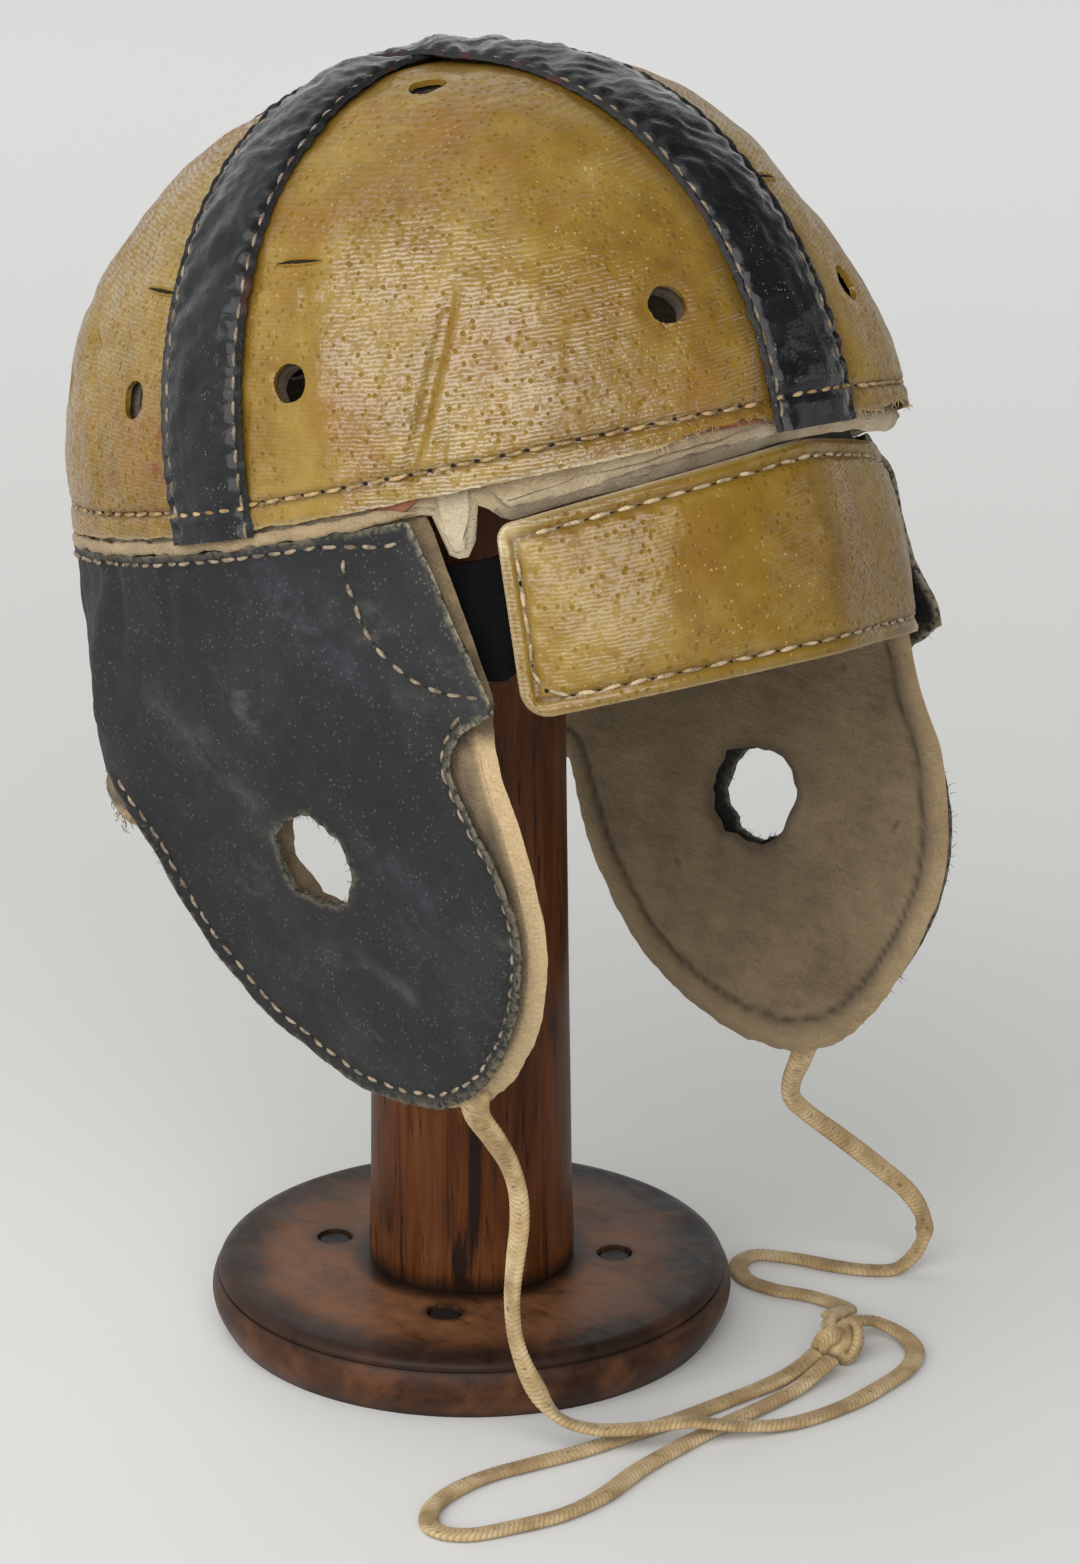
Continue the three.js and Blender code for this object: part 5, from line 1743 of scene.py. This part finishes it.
def sew(name, stations, centre, pitch, length, material, slot):
    lengths = [0.0]
    for (a, _), (b, _) in zip(stations, stations[1:]):
        lengths.append(lengths[-1] + (b - a).length)

    def at(far):
        k = 0
        while k < len(lengths) - 2 and lengths[k + 1] < far:
            k += 1
        share = (far - lengths[k]) / max(lengths[k + 1] - lengths[k], 1e-9)
        point = stations[k][0].lerp(stations[k + 1][0], share)
        normal = stations[k][1].lerp(stations[k + 1][1], share).normalized()
        if normal.dot(point - centre) < 0:
            normal.negate()
        return point, (stations[k + 1][0] - stations[k][0]).normalized(), normal

    stitches, holes = [], []
    far = 0.5 * pitch * mm
    while far < lengths[-1]:
        size = (length * random.uniform(0.9, 1.1), random.uniform(0.88, 1.12), random.uniform(0.9, 1.1))
        stitches.append(copyTo(stitch, *at(far), size, random.uniform(-0.14, 0.14)))
        gap = far + 0.5 * pitch * mm
        if gap < lengths[-1]:
            point, along, normal = at(gap)
            holes.append(copyTo(hole, point - normal * 0.3 * mm, along, normal, (1.15, 1, 1)))
        far += pitch * mm * random.uniform(0.94, 1.06)
    for kept, label, finish in ((stitches, "_stitches", material),
                                (holes, "_needle_holes", finishes["needleHoleShade"])):
        putOn(joined(kept, name + label), finish, slot)


def sewStraps():
    for name, (turn, over) in straps.items():
        def place(share, aside, lift=0.3):
            return strapPlace(turn, over, clamp(share, 0, 1), aside, lift)

        def stationAt(share, aside):
            forward = place(min(share + 0.002, 1), aside) - place(max(share - 0.002, 0), aside)
            across = place(share, aside + 0.4) - place(share, aside - 0.4)
            return place(share, aside), forward.cross(across).normalized()

        for label, side in (("near", -strap["row"]), ("far", strap["row"])):
            stations = [stationAt(0.006 + 0.988 * k / 300, side) for k in range(301)]
            sew(name + "_" + label, stations, headMiddle, strap["pitch"], strap["stitch"],
                finishes["tanThread"], "black_leather")
        cross = strap["crossRow"] / strap["length"]
        for label, share in (("first_end", cross), ("second_end", 1 - cross)):
            stations = [stationAt(share, mix(-12.6, 12.6, k / 24)) for k in range(25)]
            sew(name + "_" + label, stations, headMiddle, 4.6, 2.9, finishes["brownThread"], "black_leather")


def sewHem():
    for name, front, x, y in quarters:
        spots = []
        for k in range(181):
            around = front + 8 + 74 * k / 180
            groove = math.degrees(crownLeather["hemGroove"] / rimRadius(around))
            spots.append((around, rimElevation(around) + groove))
        stations = stationsOn(spots, lambda around, up, lift: onPanel(x, y, around, up, lift), 0.45)
        sew("crown_hem_" + name, stations, headMiddle, 5.8, 4.3, finishes["brownThread"], "mustard_leather")


def sewBrow():
    half = brow["half"] - brow["row"]
    low = brow["bottom"] - brow["row"]
    side = browTop(half) + brow["row"] + 3.5
    edge = []
    for k in range(161):
        u = mix(half - 4, -half + 4, k / 160)
        edge.append((u, browTop(u) + brow["row"]))
    edge += [(-half, side), (-half, low - 6), (-half + 2, low - 2), (-half + 6, low)]
    edge += [(mix(-half + 8, half - 8, k / 160), low) for k in range(161)]
    edge += [(half - 2, low - 2), (half, low - 6), (half, side)]

    def onFace(u, drop, lift):
        inward = min(brow["half"] - abs(u), brow["bottom"] - drop, drop - browTop(u))
        return onBrow(u, drop, brow["edge"] + browDome(u, drop) + browRelief(u, drop, inward) + lift)

    sew("brow_pad", stationsOn(edge, onFace, 0.35), skirtMiddle, 6.2, 4.5, finishes["creamThread"],
        "mustard_leather")


# The curved row over the front of each flap
frontRow = [(37.7, 9, 0), (37.6, 17, 0), (40.7, 28, 0), (47.5, 37, 0), (56, 42.5, 0), (68, 46, 0)]


def sewFlaps():
    for name, form in flaps.items():
        def onSide(u, drop, lift):
            rim = drop - flapFront[0][1] if drop < 10 else flapLeather["wellInside"]
            rise = flapRelief(name, form, u, drop, rim, flapLeather["wellInside"])
            return onFlap(form, u, drop, rise + lift)

        def sewRow(label, spots, place, lift, pitch, length):
            sew("ear_flap_" + name + label, stationsOn(spots, place, lift), skirtMiddle, pitch, length,
                finishes["tanThread"], "charcoal_leather")

        along = [mix(54, -92, k / 150) for k in range(151)]
        sewRow("_top", [(u, 6.2 + 2.6 * ease((u - 27) / 27)) for u in along], onSide, 0.25, 5.2, 3.7)
        curve, _ = curveThrough(frontRow, 1)
        sewRow("_front", [point.xy for point in curve], onSide, 0.25, 5.3, 3.5)

        def onEdge(u, drop, lift):
            rise = flapRelief(name, form, u, drop, flapLeather["row"], flapLeather["wellInside"])
            return onFlap(form, u, drop, rise + lift)

        row = []
        for k in range(4, len(form["edge"]) - 4, 3):
            point = form["edge"][k]
            along = (form["edge"][k + 4] - form["edge"][k - 4]).normalized()
            if point.y > 52 and point.x > -72:
                row.append((point.x - along.y * flapLeather["row"], point.y + along.x * flapLeather["row"]))
        sewRow("_lobe", row, onEdge, 0.35, 4.7, 3.7)


stitch = stitchModel()
hole = holeModel()
sewStraps()
sewHem()
sewBrow()
sewFlaps()
print("stitches sewn")


# Frays: one bent fibre is modelled, then copied along torn and worn edges

frayCount = {"earHole": 120, "nape": 130, "frontEdge": 34, "hem": 150}


def fibreModel():
    piece = bentGrid("fibre", 3, 4, lambda across, up: Vector((
        up, math.cos(2 * math.pi * across) * (0.5 - 0.35 * up) + 3.5 * up * up,
        math.sin(2 * math.pi * across) * (0.5 - 0.35 * up))) * mm)
    weld(piece)
    closeEnds(piece)
    return piece


def fray(name, roots, finish, slot):
    fibres = []
    for point, out, normal, length, width in roots:
        along = (out + normal * random.uniform(-0.5, 0.9)
                 + out.cross(normal) * random.gauss(0, 0.7)).normalized()
        tilt = (normal + out.cross(normal) * random.uniform(-1, 1)).normalized()
        tilt = (tilt - along * tilt.dot(along)).normalized()
        fibres.append(copyTo(fibre, point, along, tilt, (length, width * random.choice((-1, 1)), width)))
    piece = joined(fibres, name)
    closeEnds(piece)
    smooth(piece, 80)
    putOn(piece, finish, slot)


def drawn(*ranges):
    return [random.uniform(low, high) for low, high in ranges]


def frayFlap(name, form):
    def rootAt(u, drop, du, dd, length, width, depth=-0.5):
        here = onFlap(form, u, drop, depth)
        out = (onFlap(form, u + du * 0.5, drop + dd * 0.5, depth) - here).normalized()
        normal = (onFlap(form, u, drop, depth + 1) - here).normalized()
        return here, out, normal, length, width

    roots, long = [], []
    edge = form["edge"]
    for k in range(4, len(edge) - 4):
        along = (edge[k + 2] - edge[k - 2]).normalized()
        u, drop = edge[k].x - along.y * -0.2, edge[k].y + along.x * -0.2
        lobe = drop > 54 and u > -80
        chance = (0.34 if u < 30 else 0.2) if lobe else (0.3 if drop < 6 and u > -100 else 0.1 * (u > -100))
        if random.random() < chance:
            roots.append(rootAt(u, drop, along.y, -along.x, *drawn((0.6, 1.9), (0.11, 0.22), (-1.4, 0.2))))
    hole = ovalHole(form["ear"], flapLeather["hole"], form["side"])
    for _ in range(frayCount["earHole"]):
        angle = random.uniform(0, 2 * math.pi)
        out = Vector((math.cos(angle), math.sin(angle)))
        _, cut = hole(form["ear"][0] + out.x * 12, form["ear"][1] + out.y * 11)
        roots.append(rootAt(cut.x, cut.y, -out.x, -out.y, *drawn((0.5, 1.8), (0.12, 0.24), (-1.5, 0.1))))
    for _ in range(frayCount["nape"]):
        share = random.random()
        u = mix(-69, -88, share) + random.gauss(0, 0.8)
        drop = mix(71, 59, share) + random.gauss(0, 1.4)
        long.append(rootAt(u, drop, -0.7, 0.7, *drawn((0.8, 2.2), (0.24, 0.45), (-3, 1.2))))
    for _ in range(frayCount["frontEdge"]):
        drop = random.uniform(12, 42)
        u = mix(57, 68, (drop - 4) / 40)
        if form["side"] > 0:
            roots.append(rootAt(u, drop, 1, 0.1, *drawn((1.5, 4.2), (0.12, 0.2), (-2, 0.2))))
    fray("ear_flap_" + name + "_frays", roots, finishes["fray" if form["side"] < 0 else "darkFray"],
         "charcoal_leather")
    fray("ear_flap_" + name + "_nape_frays", long, finishes["grassFray"], "tan_felt")


def frayHem():
    roots = []
    for _, front, x, y in quarters:
        for _ in range(frayCount["hem"]):
            around = front + random.uniform(8, 82)
            torn = ease((26 - around) / 6) if front == 0 else (1.0 if front == 270 and around > 330 else 0.0)
            if random.random() > 0.14 + 0.75 * torn:
                continue
            up = rimElevation(around, -hemTear(around)) + 0.1
            here = onPanel(x, y, around, up, -0.4)
            out = (onPanel(x, y, around, up - 0.4, -0.4) - here).normalized()
            normal = (onPanel(x, y, around, up, 0.6) - here).normalized()
            roots.append((here, out, normal, random.uniform(0.5, 1.2) + 1.3 * torn * random.random(),
                          random.uniform(0.16, 0.3) + 0.25 * torn * random.random()))
    fray("crown_hem_frays", roots, finishes["torn"], "mustard_leather")


fibre = fibreModel()
for name, form in flaps.items():
    frayFlap(name, form)
frayHem()
for model in (stitch, hole, fibre):
    bpy.data.objects.remove(model)
print("frays laid")


# Floor, and soft light as in the photograph: a very large one on the left and a small one on the right

studio = {"floor": 9, "nearFloor": (0.64, 0.64, 0.625), "farFloor": (0.88, 0.88, 0.87), "bright": 1.0,
          "dim": 0.16, "dimTowards": (0.4545, -0.5417, 0.7071),
          "key": {"azimuth": -62, "elevation": 33, "distance": 2.1, "size": (3.9, 1.9), "power": 64},
          "kicker": {"azimuth": 39.5, "elevation": 12, "distance": 2.2, "size": (1.2, 0.7), "power": 3}}


def makeStudio():
    clearSelection()
    bpy.ops.mesh.primitive_circle_add(vertices=96, radius=studio["floor"] / 2, fill_type="NGON")
    floor = bpy.context.object
    floor.name = floor.data.name = "floor"
    material, tree, shader = startMaterial("floor_paper")
    at = add(tree, "TexCoord", {})
    far = add(tree, "VectorMath", {0: at.outputs["Object"]}, operation="LENGTH").outputs["Value"]
    # The paper is darker near the stand and paler far off: a painted light falloff
    colour = blend(tree, span(tree, far, 0.3, 1.6), studio["nearFloor"], studio["farFloor"])
    wire(tree, shader, {"Base Color": colour, "Roughness": 0.7})
    floor.data.materials.append(material)
    for name in ("key", "kicker"):
        settings = studio[name]
        away = heading(-settings["azimuth"], settings["elevation"])
        lamp = bpy.data.lights.new(name + "_light", "AREA")
        lamp.shape = "RECTANGLE"
        lamp.size, lamp.size_y = settings["size"]
        lamp.energy = settings["power"]
        holder = bpy.data.objects.new(name + "_light", lamp)
        holder.location = away * settings["distance"] + Vector((0, 0, 0.2))
        holder.rotation_euler = (-away).to_track_quat("-Z", "Y").to_euler()
        holder.visible_camera = False
        bpy.context.scene.collection.objects.link(holder)
    sky = bpy.data.worlds.new("studio")
    bpy.context.scene.world = sky
    sky.use_nodes = True
    tree = sky.node_tree
    at = add(tree, "TexCoord", {})
    sides = {0: at.outputs["Generated"], 1: studio["dimTowards"]}
    towards = add(tree, "VectorMath", sides, operation="DOT_PRODUCT").outputs["Value"]
    shade = span(tree, towards, 0.35, 0.85, studio["bright"], studio["dim"])
    glow = blend(tree, shade, (0, 0, 0), (1, 1, 0.99))
    wire(tree, tree.nodes["Background"], {"Color": glow, "Strength": 1.0})


makeStudio()
bpy.context.scene.view_settings.view_transform = "Standard"
print("studio set")
